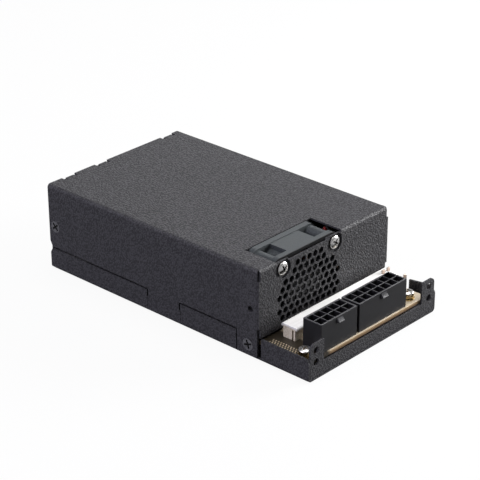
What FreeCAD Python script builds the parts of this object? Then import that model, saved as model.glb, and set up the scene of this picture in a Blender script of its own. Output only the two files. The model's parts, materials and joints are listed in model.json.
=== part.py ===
import FreeCAD, Part
import math
import os
import re

import Sketcher

Vector = FreeCAD.Vector
Rotation = FreeCAD.Rotation

# Driving dimensions in millimetres: X is the width, Y runs from the output tray to the mains inlet, Z is up
sizes = {
    # folded case
    "caseWidth": 81.5,
    "caseLength": 150,
    "caseHeight": 40.5,
    "sheetThick": 0.8,
    "cutPast": 1,
    "bendRadius": 1.6,
    "coverGap": 0.15,
    "trayLength": 26.3,
    "traySlot": 1.2,
    "flapHeight": 10.4,
    "flapRound": 2,
    "rightFlapEnd": 13.4,
    "rightFlapFoot": 5,
    "rightFlapRise": 1.4,
    "seamGap": 0.5,
    "seamLine": 0.2,
    "coverFoot": 0.15,
    "cornerFoot": 0.7,
    "cornerReach": 12.1,
    "tongueStart": 44,
    "tongueLength": 19.6,
    "slotFoot": 7.1,
    "slotWidth": 0.8,
    "panelFoot": 9.8,
    "notchTop": 14.1,
    "reliefWidth": 1,
    "reliefDepth": 5,
    "innerFlange": 26,
    "rearReturn": 10,
    "rearReturnFoot": 14,
    "rearReturnTop": 28,
    "tailDepth": 1.3,
    "tailRise": 2.6,
    # hook tabs of the cover's rear edge
    "hookWidth": 4.5,
    "hookNotch": 1.5,
    "hookDrop": 3.6,
    "hookLeftInset": 12.15,
    "hookMiddle": -9,
    "hookRightInset": 8.55,
    # front wall and ears of the tray
    "frontWallHeight": 6.5,
    "earWidth": 9.25,
    "earHeight": 16.5,
    "earRound": 2.6,
    "earHoleRadius": 1.55,
    "earHoleInset": 4.55,
    "earHoleLow": 7.85,
    "earHoleRise": 5.35,
    # screws and holes of the side walls
    "sideScrewRadius": 1.4,
    "sideScrewHead": 2.9,
    "sideScrewLength": 3,
    "screwGap": 0.15,
    "headTaper": 0.86,
    "domeTaper": 0.7,
    "frontScrewBack": 6.1,
    "frontScrewLift": 5.4,
    "rearScrewBack": 3.75,
    "rearScrewLift": 21,
    "sideHoleBack": 4.6,
    "sideHoleLift": 22.1,
    "sideHoleRadius": 1.3,
    # fan
    "fanSide": -10.2,
    "fanPlay": 0.25,
    "fanDepth": 15,
    "fanGap": 0.3,
    "fanHoleInset": 4,
    "fanHoleRadius": 1.75,
    "fanCorner": 4.4,
    "fanRim": 1.3,
    "fanFlange": 2.8,
    "fanPadHalf": 8.5,
    "fanPadDrop": 0.3,
    "fanBoss": 3.2,
    "fanRingWall": 0.9,
    "strutWidth": 2.2,
    "strutDepth": 2,
    "strutSink": 0.5,
    "motorPlate": 10.4,
    "bushOuter": 2.5,
    "bushLength": 8,
    "tubeWall": 0.9,
    "shaftRadius": 1,
    "shaftGap": 0.03,
    "hubRadius": 10.6,
    "hubWall": 0.8,
    "hubCap": 1,
    "hubLength": 10.2,
    "hubSetback": 0.8,
    "hubBoss": 3,
    "hubBossLength": 1.6,
    "magnetWall": 1.1,
    "magnetLength": 7,
    "coreRadius": 7.6,
    "coreLength": 4,
    "coreHead": 1.6,
    "poleWidth": 2.4,
    "poleRoot": 0.3,
    "poleShoe": 3.1,
    "poleShoeTip": 2.6,
    "coilWall": 1.1,
    "coilGap": 0.05,
    "bladeCount": 7,
    "bladeThick": 0.7,
    "bladeChord": 8.2,
    "bladeRootTurn": 38,
    "bladeTipTurn": 26,
    "bladeTipGap": 0.5,
    "bladeCamber": 1.1,
    "dimpleDepth": 0.9,
    "dimpleRadius": 4.5,
    "cutDrop": 1.1,
    "fanScrewHead": 2.9,
    "fanScrewHeadHeight": 1.5,
    "fanScrewRadius": 1.6,
    "fanScrewLength": 9,
    # perforations
    "hexPitch": 3.62,
    "hexFlat": 2.7,
    "hexRim": 1,
    "hexScrewClear": 6,
    "ventInset": 4.75,
    "ventSpace": 25,
    "ventFoot": 9,
    "ventDrop": 10.5,
    # circuit boards
    "boardLift": 6.8,
    "boardThick": 1.6,
    "boardMargin": 0.6,
    "boardGap": 0.3,
    "armReach": 2,
    "boardArm": 12.6,
    "boardRightInset": 4.65,
    "mainBoardInset": 3.35,
    "mainBoardTail": 7,
    "mainSpotSide": 3.4,
    "mainSpotFront": 9,
    "mainSpotRear": 4,
    "sheetInsulator": 0.4,
    "standoffRadius": 2.7,
    "boardScrewRadius": 1.45,
    "boardScrewHead": 2.8,
    "boardScrewHeadHeight": 2.3,
    "boardScrewLength": 6.4,
    "washerRadius": 3.1,
    "washerThick": 0.5,
    "springRadius": 2.55,
    "springThick": 0.9,
    "traySpotInset": 4.75,
    "traySpotRight": 29.4,
    "traySpotBack": 6,
    # output headers
    "pinPitch": 4.2,
    "headerEnd": 0.6,
    "headerHeight": 13,
    "headerDepth": 9.6,
    "headerFront": 1.9,
    "headerFloor": 1.4,
    "cellWall": 0.4,
    "headerInset": 9.65,
    "smallHeaderWays": 5,
    "headerSpace": 1.45,
    "largeHeaderWays": 7,
    "pinWidth": 1.07,
    "pinHoleRadius": 0.86,
    "pinGap": 0.05,
    "pinTail": 1.6,
    "pinShort": 2.5,
    "rampWidth": 3.4,
    "rampHeight": 2.8,
    "rampDepth": 1.4,
    "rampSet": 0.2,
    "rampLip": 2,
    # output bus
    "capLeftInset": 10.55,
    "capRightInset": 4.95,
    "capFront": 15.4,
    "capDepth": 8.3,
    "capHeight": 6.1,
    "capWall": 0.9,
    "capLip": 1.3,
    "capRound": 0.8,
    "busGap": 0.1,
    "busSlot": 0.9,
    "busLeg": 0.8,
    "postWidth": 1.6,
    "postThick": 0.8,
    "postRise": 1.4,
    "postInset": 6.35,
    "postStep": 3.4,
    "sensePostBack": 12,
    "sensePostInset": 5.6,
    "sensePostRise": 6.8,
    "busBarWidth": 5.2,
    "busBarThick": 1,
    "busBarInset": 16.75,
    "busBarPitch": 6.6,
    "busBarFoot": 5,
    "busBarHeight": 6,
    # mains inlet
    "inletInset": 26.75,
    "inletRaise": 0.75,
    "inletCollarWidth": 27,
    "inletCollarHeight": 19.6,
    "inletFit": 0.2,
    "inletFlangeWidth": 46,
    "inletFlangeHeight": 22.4,
    "inletFlangeThick": 2.5,
    "inletCorner": 4,
    "inletScrewSpacing": 40,
    "inletScrewRadius": 1.4,
    "inletScrewHead": 2.8,
    "inletWidth": 24.2,
    "inletHeight": 16.4,
    "inletChamfer": 4.6,
    "inletDepth": 17,
    "inletBack": 1.8,
    "inletWall": 1,
    "inletPinWidth": 2,
    "inletPinHeight": 4,
    "inletPinRecess": 5.2,
    "inletPinSpread": 7,
    "inletPinDrop": 2,
    "inletTabLength": 3.5,
    "rearHoleInset": 3.95,
    "rearHoleLow": 4.6,
    "rearHoleDrop": 4.5,
    "rearHoleRadius": 1.5,
    # parts on the main board
    "bulkRadius": 11,
    "bulkClear": 2.3,
    "bulkSide": -22,
    "bulkBack": 22,
    "coreWidth": 30,
    "coreDepth": 20,
    "coreHeight": 24,
    "coreLimb": 5.5,
    "coreSide": 12,
    "coreBack": 3.2,
    "windingGap": 0.2,
    "windingOver": 2,
    "standbySize": 14,
    "standbySide": -26,
    "standbyBack": 1,
    "finPitch": 4.2,
    "secondaryFins": 9,
    "primaryFins": 10,
    "finThick": 1.2,
    "finReach": 3.5,
    "sinkPlate": 2.4,
    "sinkClear": 6.3,
    "secondarySide": -32.5,
    "secondaryBack": -12,
    "primarySide": -10,
    "primaryBack": 43,
    "transistorWidth": 10,
    "transistorThick": 4.5,
    "transistorHeight": 15,
    "transistorLift": 4,
    "rectifierSet": 5,
    "rectifierPitch": 14,
    "switchSet": 1,
    "switchPitch": 11,
    "bridgeSet": 23,
    "bridgeWidth": 15,
    "bridgeHeight": 14,
    "legWidth": 0.8,
    "legPitch": 2.54,
    "ringOuter": 7.6,
    "ringInner": 4,
    "ringHeight": 8,
    "turnWall": 1.1,
    "turnAngle": 140,
    "chokeSide": -23,
    "chokeBack": 54,
    "pfcSide": 12,
    "pfcClear": 2.3,
    "inductorSide": 15,
    "filmWidth": 8,
    "filmDepth": 17,
    "filmHeight": 15,
    "filmSide": -8,
    "filmBack": 56,
    "discRadius": 4,
    "discThick": 2.6,
    "discSide": 27,
    "discBack": 20,
    "discPitch": 10,
    "canRadius": 4,
    "canHeight": 16,
    "canSide": -22.7,
    "canBack": -23.5,
    "canPitch": 8.6,
    "canCount": 3,
    "canRound": 0.8,
    "crimpLift": 1.6,
    "crimpWidth": 0.8,
    "crimpDepth": 0.5,
    "fuseRadius": 2.6,
    "fuseGlassRadius": 2.3,
    "fuseLength": 20,
    "fuseCap": 5,
    "fuseSide": -32,
    "fuseBack": 38,
    # wires
    "wireRadius": 1.1,
    "wireOut": 2.4,
    "wireTurn": 1.6,
    "earthRadius": 1,
    "earthDrop": 3,
    "earthLean": 3,
    "earthLanding": 5,
    "leadRadius": 0.6,
    "leadPitch": 1.4,
    "leadDrop": 4,
    "leadOut": 2.7,
    "leadIn": 1.2,
    "leadLean": 4,
    "leadShoulder": 8,
    "leadTopGap": 2.6,
    "leadCrown": 4.5,
    "leadBend": 6,
    "leadEntry": 2.8,
    "plugSide": 0,
    "plugSet": 1,
    "plugWidth": 7.5,
    "plugDepth": 5.8,
    "plugHeight": 7,
    "lugSide": -18.5,
    "lugDrop": 6.5,
    "lugWidth": 10,
    "lugHeight": 5.4,
    "lugThick": 0.8,
    "lugWireSet": 1.2,
    "lugScrewHead": 2.6,
    "lugScrewHeight": 1.8,
}

# Sizes that follow from the driving ones
derived = {
    "fanSize": "caseHeight - 2 * fanPlay",
    "fanBore": "fanSize / 2 - fanRim",
    "fanHoleSpacing": "fanSize - 2 * fanHoleInset",
    "hexField": "fanSize / 2 - hexRim",
    "earInner": "caseWidth / 2 - earWidth",
    "earHoleSide": "caseWidth / 2 - earHoleInset",
    "hookLeft": "hookLeftInset - caseWidth / 2",
    "hookRight": "caseWidth / 2 - hookRightInset",
    "inletSide": "caseWidth / 2 - inletInset",
    "inletLift": "caseHeight / 2 + inletRaise",
    "rearHoleSide": "caseWidth / 2 - rearHoleInset",
    "rearHoleRise": "caseHeight - rearHoleLow - rearHoleDrop",
    "ventLeft": "caseWidth / 2 - ventInset",
    "ventRight": "ventSpace - inletSide",
    "ventTop": "caseHeight - ventDrop",
    "boardRight": "caseWidth / 2 - boardRightInset",
    "mainBoardHalf": "caseWidth / 2 - mainBoardInset",
    "traySpotLeft": "traySpotInset - caseWidth / 2",
    "smallHeaderLeft": "headerInset - caseWidth / 2",
    "largeHeaderLeft": "smallHeaderLeft + 2 * headerEnd + pinPitch * smallHeaderWays + headerSpace",
    "capLeft": "capLeftInset - caseWidth / 2",
    "capRight": "caseWidth / 2 - capRightInset",
    "postSide": "caseWidth / 2 - postInset",
    "sensePostSide": "caseWidth / 2 - sensePostInset",
    "busBarSide": "caseWidth / 2 - busBarInset",
    "bulkHeight": "caseHeight - sheetThick - boardLift - boardThick - bulkClear",
    "sinkHeight": "caseHeight - sheetThick - boardLift - boardThick - sinkClear",
    "lugLift": "caseHeight - lugDrop",
    "pfcBack": "coreBack + coreDepth / 2 + windingOver + ringOuter + turnWall + pfcClear",
    "inductorBack": "coreBack - coreDepth / 2 - windingOver - ringOuter - turnWall - windingGap",
}

doc = FreeCAD.newDocument("FlexSupply")
sheet = doc.addObject("Spreadsheet::Sheet", "Sizes")
for row, (alias, number) in enumerate(sizes.items(), start=1):
    sheet.set(f"A{row}", alias)
    sheet.set(f"B{row}", str(number))
    sheet.setAlias(f"B{row}", alias)


# Write a text in the document's own names: driving sizes stand in the sheet, derived ones beside it
def tied(text):
    homes = {**dict.fromkeys(sizes, "Sizes"), **dict.fromkeys(derived, "Ties")}
    return re.sub(r"[A-Za-z]\w*",
                  lambda word: f"{homes[word[0]]}.{word[0]}" if word[0] in homes else word[0], str(text))


ties = doc.addObject("App::VarSet", "Ties")
for name, text in derived.items():
    ties.addProperty("App::PropertyFloat", name)
    ties.setExpression(name, tied(text))
doc.recompute()

nodes = {}

# Places that several pieces share, written in the sheet's names
half = "(caseWidth / 2)"
inside = "(caseWidth / 2 - sheetThick)"
flange = "(caseWidth / 2 - sheetThick - coverGap)"
front = "(-caseLength / 2)"
rear = "(caseLength / 2)"
rearFace = "(caseLength / 2 - sheetThick)"
rearTop = "(caseHeight - sheetThick - coverGap)"
panelFace = "(trayLength - caseLength / 2)"
panelBack = "(trayLength - caseLength / 2 + sheetThick)"
wallFront = "(trayLength - caseLength / 2 + sheetThick + coverGap)"
windowTop = "(flapHeight + seamGap)"
tongueFront = "(trayLength - caseLength / 2 + tongueStart)"
tongueRear = "(trayLength - caseLength / 2 + tongueStart + tongueLength)"
cornerEnd = "(trayLength - caseLength / 2 + cornerReach)"
fanFront = "(trayLength - caseLength / 2 + sheetThick + dimpleDepth)"
fanRear = "(trayLength - caseLength / 2 + sheetThick + dimpleDepth + fanDepth)"
fanLift = "(caseHeight / 2)"
fanScrewLift = "(caseHeight / 2 + fanHoleSpacing / 2)"
boardTop = "(boardLift + boardThick)"
boardFront = "(sheetThick + boardGap - caseLength / 2)"
boardHalf = "(caseWidth / 2 - sheetThick - boardMargin)"
mainFront = "(trayLength - caseLength / 2 + sheetThick + dimpleDepth + fanDepth + armReach + boardGap)"
mainRear = "(caseLength / 2 - mainBoardTail)"
headerFace = "(headerFront - caseLength / 2)"
traySpot = "(traySpotBack - caseLength / 2)"
capFace = "(capFront - caseLength / 2)"


def number(name):
    return float(sheet.get(name)) if name in sizes else float(getattr(ties, name))


def bind(item, rules):
    for path, text in rules.items():
        item.setExpression(path, tied(text))


# Turn a solid's own +Z towards the axis that it lies along
turns = {
    "x": Rotation(Vector(0, 1, 0), 90),
    "y": Rotation(Vector(1, 0, 0), -90),
    "z": Rotation(),
    "-x": Rotation(Vector(0, 1, 0), -90),
    "-y": Rotation(Vector(1, 0, 0), 90),
}


def put(item, place, axis="z"):
    item.Placement = FreeCAD.Placement(Vector(), turns[axis])
    bind(item, {f"Placement.Base.{name}": text for name, text in zip("xyz", place)})
    return item


def block(name, x, y, z):
    item = doc.addObject("Part::Box", name)
    spans = {"Length": x, "Width": y, "Height": z}
    bind(item, {side: f"({end}) - ({start})" for side, (start, end) in spans.items()})
    return put(item, [x[0], y[0], z[0]])


def rod(name, place, axis, radius, length):
    item = doc.addObject("Part::Cylinder", name)
    bind(item, {"Radius": radius, "Height": length})
    return put(item, place, axis)


def cone(name, place, axis, startRadius, endRadius, length):
    item = doc.addObject("Part::Cone", name)
    bind(item, {"Radius1": startRadius, "Radius2": endRadius, "Height": length})
    return put(item, place, axis)


def prism(name, place, axis, radius, length):
    item = doc.addObject("Part::Prism", name)
    item.Polygon = 6
    bind(item, {"Circumradius": radius, "Height": length})
    return put(item, place, axis)


def cut(name, base, tools):
    item = doc.addObject("Part::Cut", name)
    item.Base = base
    item.Tool = tools[0] if len(tools) == 1 else joined(name + "Tools", tools)
    return item


def joined(name, items):
    item = doc.addObject("Part::MultiFuse", name)
    item.Shapes = items
    return item


def grouped(name, items):
    item = doc.addObject("Part::Compound", name)
    item.Links = items
    return item


def node(label, item):
    item.Label = label
    nodes[label] = item
    return item


def newBody(name, place=("0", "0", "0")):
    body = doc.addObject("PartDesign::Body", name)
    bind(body, {f"Placement.Base.{axis}": text for axis, text in zip("xyz", place)})
    return body


def oblong(u, v):
    return [(u[0], v[0]), (u[1], v[0]), (u[1], v[1]), (u[0], v[1])]


def mirrored(u, v):
    return [oblong(u, v), oblong((f"-({u[1]})", f"-({u[0]})"), v)]


# A sketch on a plane of the body: a list of points is a closed outline, a tuple is a circle
def sketchOn(body, name, plane, offset, shapes):
    support = next(item for item in body.Origin.OriginFeatures if item.Role == f"{plane}_Plane")
    sketch = body.newObject("Sketcher::SketchObject", name)
    sketch.AttachmentSupport = [(support, "")]
    sketch.MapMode = "FlatFace"
    sign = "-" if plane == "XZ" else ""
    bind(sketch, {"AttachmentOffset.Base.z": f"{sign}({offset})"})
    for shape in shapes:
        if isinstance(shape, tuple):
            drawCircle(sketch, *shape)
        else:
            drawOutline(sketch, shape)
    return sketch


def hold(sketch, kind, points, start, text):
    index = sketch.addConstraint(Sketcher.Constraint(kind, *points, start))
    bind(sketch, {f"Constraints[{index}]": text})


def drawOutline(sketch, points):
    count = len(points)
    first = sketch.GeometryCount
    steps = [2 * math.pi * step / count for step in range(count)]
    rough = [Vector(math.cos(turn), math.sin(turn), 0) for turn in steps]
    for step in range(count):
        sketch.addGeometry(Part.LineSegment(rough[step], rough[(step + 1) % count]), False)
    for step in range(count):
        following = first + (step + 1) % count
        sketch.addConstraint(Sketcher.Constraint("Coincident", first + step, 2, following, 1))
    for step, (u, v) in enumerate(points):
        hold(sketch, "DistanceX", (-1, 1, first + step, 1), rough[step].x, u)
        hold(sketch, "DistanceY", (-1, 1, first + step, 1), rough[step].y, v)


def drawCircle(sketch, u, v, radius):
    index = sketch.addGeometry(Part.Circle(Vector(), Vector(0, 0, 1), 1), False)
    hold(sketch, "DistanceX", (-1, 1, index, 3), 0, u)
    hold(sketch, "DistanceY", (-1, 1, index, 3), 0, v)
    hold(sketch, "Radius", (index,), 1, radius)


def pad(body, name, plane, shapes, start, end):
    feature = body.newObject("PartDesign::Pad", name)
    feature.Profile = sketchOn(body, name + "Sketch", plane, start, shapes)
    feature.Reversed = plane == "XZ"
    bind(feature, {"Length": f"({end}) - ({start})"})
    body.Tip = feature
    return feature


def pocket(body, name, plane, shapes, start, end):
    feature = body.newObject("PartDesign::Pocket", name)
    feature.Profile = sketchOn(body, name + "Sketch", plane, start, shapes)
    feature.Reversed = plane != "XZ"
    bind(feature, {"Length": f"({end}) - ({start})"})
    body.Tip = feature
    return feature


def revolved(body, name, shapes, angle="360"):
    feature = body.newObject("PartDesign::Revolution", name)
    sketch = sketchOn(body, name + "Sketch", "XZ", "0", shapes)
    feature.Profile = sketch
    feature.ReferenceAxis = (sketch, ["V_Axis"])
    bind(feature, {"Angle": angle})
    body.Tip = feature
    return feature


def turned(body, name, features, count):
    pattern = body.newObject("PartDesign::PolarPattern", name)
    pattern.Originals = features
    pattern.Axis = (features[0].Profile[0], ["N_Axis"])
    pattern.Angle = 360
    bind(pattern, {"Occurrences": count})
    body.Tip = pattern
    return pattern


def inRow(body, name, features, pitch, count):
    pattern = body.newObject("PartDesign::LinearPattern", name)
    pattern.Originals = features
    pattern.Direction = (features[0].Profile[0], ["H_Axis"])
    bind(pattern, {"Length": f"({pitch}) * (({count}) - 1)", "Occurrences": count})
    body.Tip = pattern
    return pattern


# Round the straight edges of a body that run along one axis and pass a test on their middle point
def rounded(body, name, axis, radius, test):
    doc.recompute()
    base = body.Tip
    picked = []
    for index, edge in enumerate(base.Shape.Edges, start=1):
        ends = [vertex.Point for vertex in edge.Vertexes]
        along = len(ends) == 2 and abs((ends[1] - ends[0]).normalize()[axis]) > 0.999
        if along and edge.Curve.TypeId == "Part::GeomLine" and test(edge.CenterOfMass):
            picked.append(f"Edge{index}")
    feature = body.newObject("PartDesign::Fillet", name)
    feature.Base = (base, picked)
    bind(feature, {"Radius": radius})
    body.Tip = feature
    return feature


# Bend the corners of a folded strip: outer corners lie on the strip's outside, inner ones a sheet further in
def bends(body, name, axis, outer, inner):
    near = number("sheetThick") / 4
    rounded(body, name + "Outer", axis, "bendRadius", lambda middle: outer(middle, near))
    rounded(body, name + "Inner", axis, "bendRadius - sheetThick", lambda middle: inner(middle, near))


halfLength = number("caseLength") / 2
gauge = number("sheetThick")
topHeight = number("caseHeight")
panelPlace = number("trayLength") - halfLength


# Hexagonal holes in staggered rows, as prisms through a panel that faces along Y
def hexRows(name, place, depth, centre, keep, rows, columns):
    pitch = number("hexPitch")
    corner = number("hexFlat") / math.sqrt(3)
    prisms = []
    for row in range(-rows, rows + 1):
        shift = pitch / 2 if row % 2 == 0 else 0
        for column in range(-columns, columns + 1):
            across = column * pitch + shift
            rise = row * pitch * math.sqrt(3) / 2
            if not keep(across, rise):
                continue
            turnsOfSix = [math.radians(60 * step + 30) for step in range(7)]
            ring = [Vector(centre[0] + across + corner * math.cos(turn), place,
                           centre[1] + rise + corner * math.sin(turn)) for turn in turnsOfSix]
            prisms.append(Part.Face(Part.makePolygon(ring)).extrude(Vector(0, depth, 0)))
    item = doc.addObject("Part::Feature", name)
    item.Shape = Part.makeCompound(prisms)
    return item


# A wire along points chosen by hand, with each corner rounded as far as its two runs allow
def wire(name, points, radius):
    cornerShare = 0.45
    places = [Vector(*point) for point in points]
    edges = []
    last = places[0]
    for before, corner, after in zip(places, places[1:], places[2:]):
        inward = (before - corner).normalize()
        outward = (after - corner).normalize()
        reach = cornerShare * min(before.distanceToPoint(corner), corner.distanceToPoint(after))
        openAngle = inward.getAngle(outward)
        bendSize = reach * math.tan(openAngle / 2)
        toMiddle = (inward + outward).normalize()
        middle = corner + toMiddle * (bendSize / math.sin(openAngle / 2) - bendSize)
        begin = corner + inward * reach
        finish = corner + outward * reach
        edges.append(Part.LineSegment(last, begin).toShape())
        edges.append(Part.Arc(begin, middle, finish).toShape())
        last = finish
    edges.append(Part.LineSegment(last, places[-1]).toShape())
    path = Part.Wire(edges)
    ring = Part.Wire(Part.Circle(places[0], places[1] - places[0], radius).toShape())
    tube = path.makePipeShell([ring], True, False)
    print(name, "volume over section times length",
          round(tube.Volume / (math.pi * radius ** 2 * path.Length), 4))
    item = doc.addObject("Part::Feature", name)
    item.Shape = tube
    return item


# A screw: a head seated at the place, and a shank along the axis
def panScrew(name, place, axis, head, headHeight, shank, length):
    back = {"x": ("-1", 0), "-x": ("1", 0), "y": ("-1", 1), "-y": ("1", 1), "z": ("-1", 2)}
    sign, spot = back[axis]
    start = list(place)
    start[spot] = f"({place[spot]}) + ({sign}) * ({headHeight})"
    top = cone(name + "Head", start, axis, f"({head}) * headTaper", head, headHeight)
    stem = rod(name + "Shank", place, axis, shank, length)
    return joined(name, [top, stem])


# A flat-headed screw, flush with the sheet that it holds
def flatScrew(name, place, axis, head, shank, length):
    top = cone(name + "Head", place, axis, head, shank, "sheetThick")
    stem = rod(name + "Shank", place, axis, shank, length)
    return joined(name, [top, stem])


# Base pan: bottom with low side flaps
panSides = newBody("PanSides")
pad(panSides, "PanChannel", "XZ", [[
    (f"-{half}", "0"), (half, "0"), (half, "flapHeight"), (inside, "flapHeight"),
    (inside, "sheetThick"), (f"-{inside}", "sheetThick"), (f"-{inside}", "flapHeight"),
    (f"-{half}", "flapHeight"),
]], front, rear)
bends(panSides, "PanSideBend", 1,
      lambda middle, near: middle.z < near,
      lambda middle, near: abs(middle.z - gauge) < near)
rounded(panSides, "FlapCorner", 0, "flapRound",
        lambda middle: middle.z > 2 * gauge and middle.y < -halfLength + gauge)
pocket(panSides, "FlapTail", "YZ", [[
    (f"{rear} - tailDepth", "flapHeight"), (f"{rear} - tailDepth", "flapHeight + cutPast"),
    (f"{rear} + cutPast", "flapHeight + cutPast"),
    (f"{rear} + cutPast", "flapHeight - tailRise"), (rear, "flapHeight - tailRise"),
]], f"-{half} - cutPast", f"{half} + cutPast")
pocket(panSides, "RightFlapCut", "XY",
       [oblong((f"{inside} - cutPast", f"{half} + cutPast"), (f"{front} + rightFlapEnd", panelFace))],
       "rightFlapFoot", "flapHeight + cutPast")
pad(panSides, "RightFlapRise", "YZ", [[
    (f"{front} + flapRound", "flapHeight - sheetThick"),
    (f"{front} + flapRound", "flapHeight + rightFlapRise"),
    (f"{front} + rightFlapEnd", "flapHeight"), (f"{front} + rightFlapEnd", "flapHeight - sheetThick"),
]], inside, half)
reachZones = [(f"{panelFace} - traySlot", cornerEnd), (tongueFront, tongueRear)]
for order, zone in enumerate(reachZones):
    pocket(panSides, f"CoverReach{order}", "XY", mirrored((flange, f"{half} + cutPast"), zone),
           "-cutPast", "flapHeight + cutPast")
flangeSpan = (f"{flange} - sheetThick", flange)
pad(panSides, "FrontFlange", "XY",
    mirrored(flangeSpan, (f"{panelBack} + 2 * boardGap", f"{cornerEnd} - boardGap")), "0", "innerFlange")
pad(panSides, "MiddleFlange", "XY",
    mirrored(flangeSpan, (f"{tongueFront} + boardGap", f"{tongueRear} - boardGap")), "0", "flapHeight")

# Base pan: front wall, ears and rear panel, folded up from the same bottom
panEnds = newBody("PanEnds")
pad(panEnds, "EndChannel", "YZ", [[
    (front, "0"), (rear, "0"), (rear, rearTop), (rearFace, rearTop),
    (rearFace, "sheetThick"), (f"{front} + sheetThick", "sheetThick"),
    (f"{front} + sheetThick", "frontWallHeight"), (front, "frontWallHeight"),
]], f"-{flange}", flange)
bends(panEnds, "PanEndBend", 0,
      lambda middle, near: middle.z < near,
      lambda middle, near: abs(middle.z - gauge) < near)
pad(panEnds, "Ears", "XZ", mirrored(("earInner", flange), ("frontWallHeight / 2", "earHeight")),
    front, f"{front} + sheetThick")
rounded(panEnds, "EarCorner", 1, "earRound",
        lambda middle: middle.z > number("earHeight") - gauge and abs(middle.x) > number("earHoleSide")
        and middle.y < 0)
earHoles = [(f"{side}earHoleSide", f"earHoleLow{rise}", "earHoleRadius")
            for side in ("", "-") for rise in ("", " + earHoleRise")]
pocket(panEnds, "EarHoles", "XZ", earHoles, f"{front} - cutPast", f"{front} + sheetThick + cutPast")
rounded(panEnds, "RearCorner", 1, "bendRadius",
        lambda middle: middle.z > number("earHeight") + gauge and middle.y > 0)
pad(panEnds, "RearReturns", "XY",
    mirrored(flangeSpan, (f"{rear} - rearReturn", f"{rear} - sheetThick / 2")),
    "rearReturnFoot", "rearReturnTop")

frontScrewPlace = f"({panelFace} + frontScrewBack)"
rearScrewPlace = f"({rear} - rearScrewBack)"
sideHolePlace = f"({panelFace} + sideHoleBack)"
screwSpots = [(frontScrewPlace, "frontScrewLift"), (rearScrewPlace, "rearScrewLift")]
across = "caseWidth + 2 * cutPast"


def acrossRods(name, spots, radius):
    return [rod(f"{name}{order}", [f"-({across}) / 2", back, lift], "x", radius, across)
            for order, (back, lift) in enumerate(spots)]


fanHalf = "(fanSize / 2 + fanGap)"
fanSpan = (f"fanSide - {fanHalf}", f"fanSide + {fanHalf}")
fanRoom = (f"{fanFront} - fanGap", f"{fanRear} + fanGap")
inletHole = block("InletHole",
                  ("inletSide - inletCollarWidth / 2 - inletFit",
                   "inletSide + inletCollarWidth / 2 + inletFit"),
                  (f"{rear} - 4 * sheetThick", f"{rear} + cutPast"),
                  ("inletLift - inletCollarHeight / 2 - inletFit",
                   "inletLift + inletCollarHeight / 2 + inletFit"))
inletScrewSpots = [f"inletSide {sign} inletScrewSpacing / 2" for sign in ("-", "+")]
rearRods = [cone(f"InletScrewHole{order}", [side, rear, "inletLift"], "-y", "inletScrewHead + screwGap",
                 "inletScrewRadius + screwGap", "sheetThick")
            for order, side in enumerate(inletScrewSpots)]
rearHoleSpots = [(f"{side}rearHoleSide", f"rearHoleLow{rise}")
                 for side in ("-", "") for rise in ("", " + rearHoleRise")]
rearRods += [rod(f"RearHole{order}", [side, f"{rear} - 4 * sheetThick", lift], "y", "rearHoleRadius",
                 "5 * sheetThick")
             for order, (side, lift) in enumerate(rearHoleSpots)]
lugHole = rod("LugHole", ["lugSide", f"{rear} - 4 * sheetThick", "lugLift"], "y",
              "sideScrewRadius", "5 * sheetThick")

ventMiddle = -(number("ventLeft") + number("ventRight")) / 2
ventHalf = (number("ventLeft") - number("ventRight")) / 2
ventRise = (number("ventTop") - number("ventFoot")) / 2
rearVent = hexRows("RearVent", halfLength - 2 * gauge, 3 * gauge,
                   (ventMiddle, number("ventFoot") + ventRise),
                   lambda across, rise: abs(across) <= ventHalf and abs(rise) <= ventRise,
                   math.ceil(ventRise / number("hexPitch")) + 2,
                   math.ceil(ventHalf / number("hexPitch")) + 1)
panBlank = joined("PanBlank", [panSides, panEnds])
# The fan is as tall as the case, so its flanges and lower pad reach into slots in the bottom
throughBottom = ("-cutPast", "sheetThick + cutPast")
fanSlots = {"FanFrontSlot": (fanSpan, (fanRoom[0], f"{fanFront} + fanFlange + fanGap")),
            "FanPadSlot": (("fanSide - fanPadHalf - fanGap", "fanSide + fanPadHalf + fanGap"), fanRoom),
            "FanRearSlot": (fanSpan, (f"{fanRear} - fanFlange - fanGap", fanRoom[1]))}
panTools = [block(name, wide, deep, throughBottom) for name, (wide, deep) in fanSlots.items()]
panTools += [inletHole, lugHole, rearVent]
panTools += rearRods
panTools += acrossRods("PanScrewHole", screwSpots, "sideScrewRadius")
panTools += acrossRods("PanSideHole", [(sideHolePlace, "sideHoleLift")], "sideHoleRadius - screwGap")
node("base_pan", cut("BasePan", panBlank, panTools))

# Top cover: top and side walls, with the perforated front panel folded down
coverSides = newBody("CoverSides")
pad(coverSides, "CoverChannel", "XZ", [[
    (f"-{half}", "coverFoot"), (f"-{half}", "caseHeight"), (half, "caseHeight"), (half, "coverFoot"),
    (inside, "coverFoot"), (inside, "caseHeight - sheetThick"),
    (f"-{inside}", "caseHeight - sheetThick"), (f"-{inside}", "coverFoot"),
]], wallFront, rear)
bends(coverSides, "CoverSideBend", 1,
      lambda middle, near: middle.z > topHeight - near,
      lambda middle, near: abs(middle.z - topHeight + gauge) < near)
pocket(coverSides, "CoverTail", "YZ", [[
    (f"{rear} - tailDepth", windowTop), (rear, f"{windowTop} + tailRise"),
    (f"{rear} + cutPast", f"{windowTop} + tailRise"),
    (f"{rear} + cutPast", "coverFoot - cutPast"), (f"{rear} - tailDepth", "coverFoot - cutPast"),
]], f"-{half} - cutPast", f"{half} + cutPast")
coverPanel = newBody("CoverPanel")
panelHalf = f"({half} - reliefWidth)"
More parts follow.
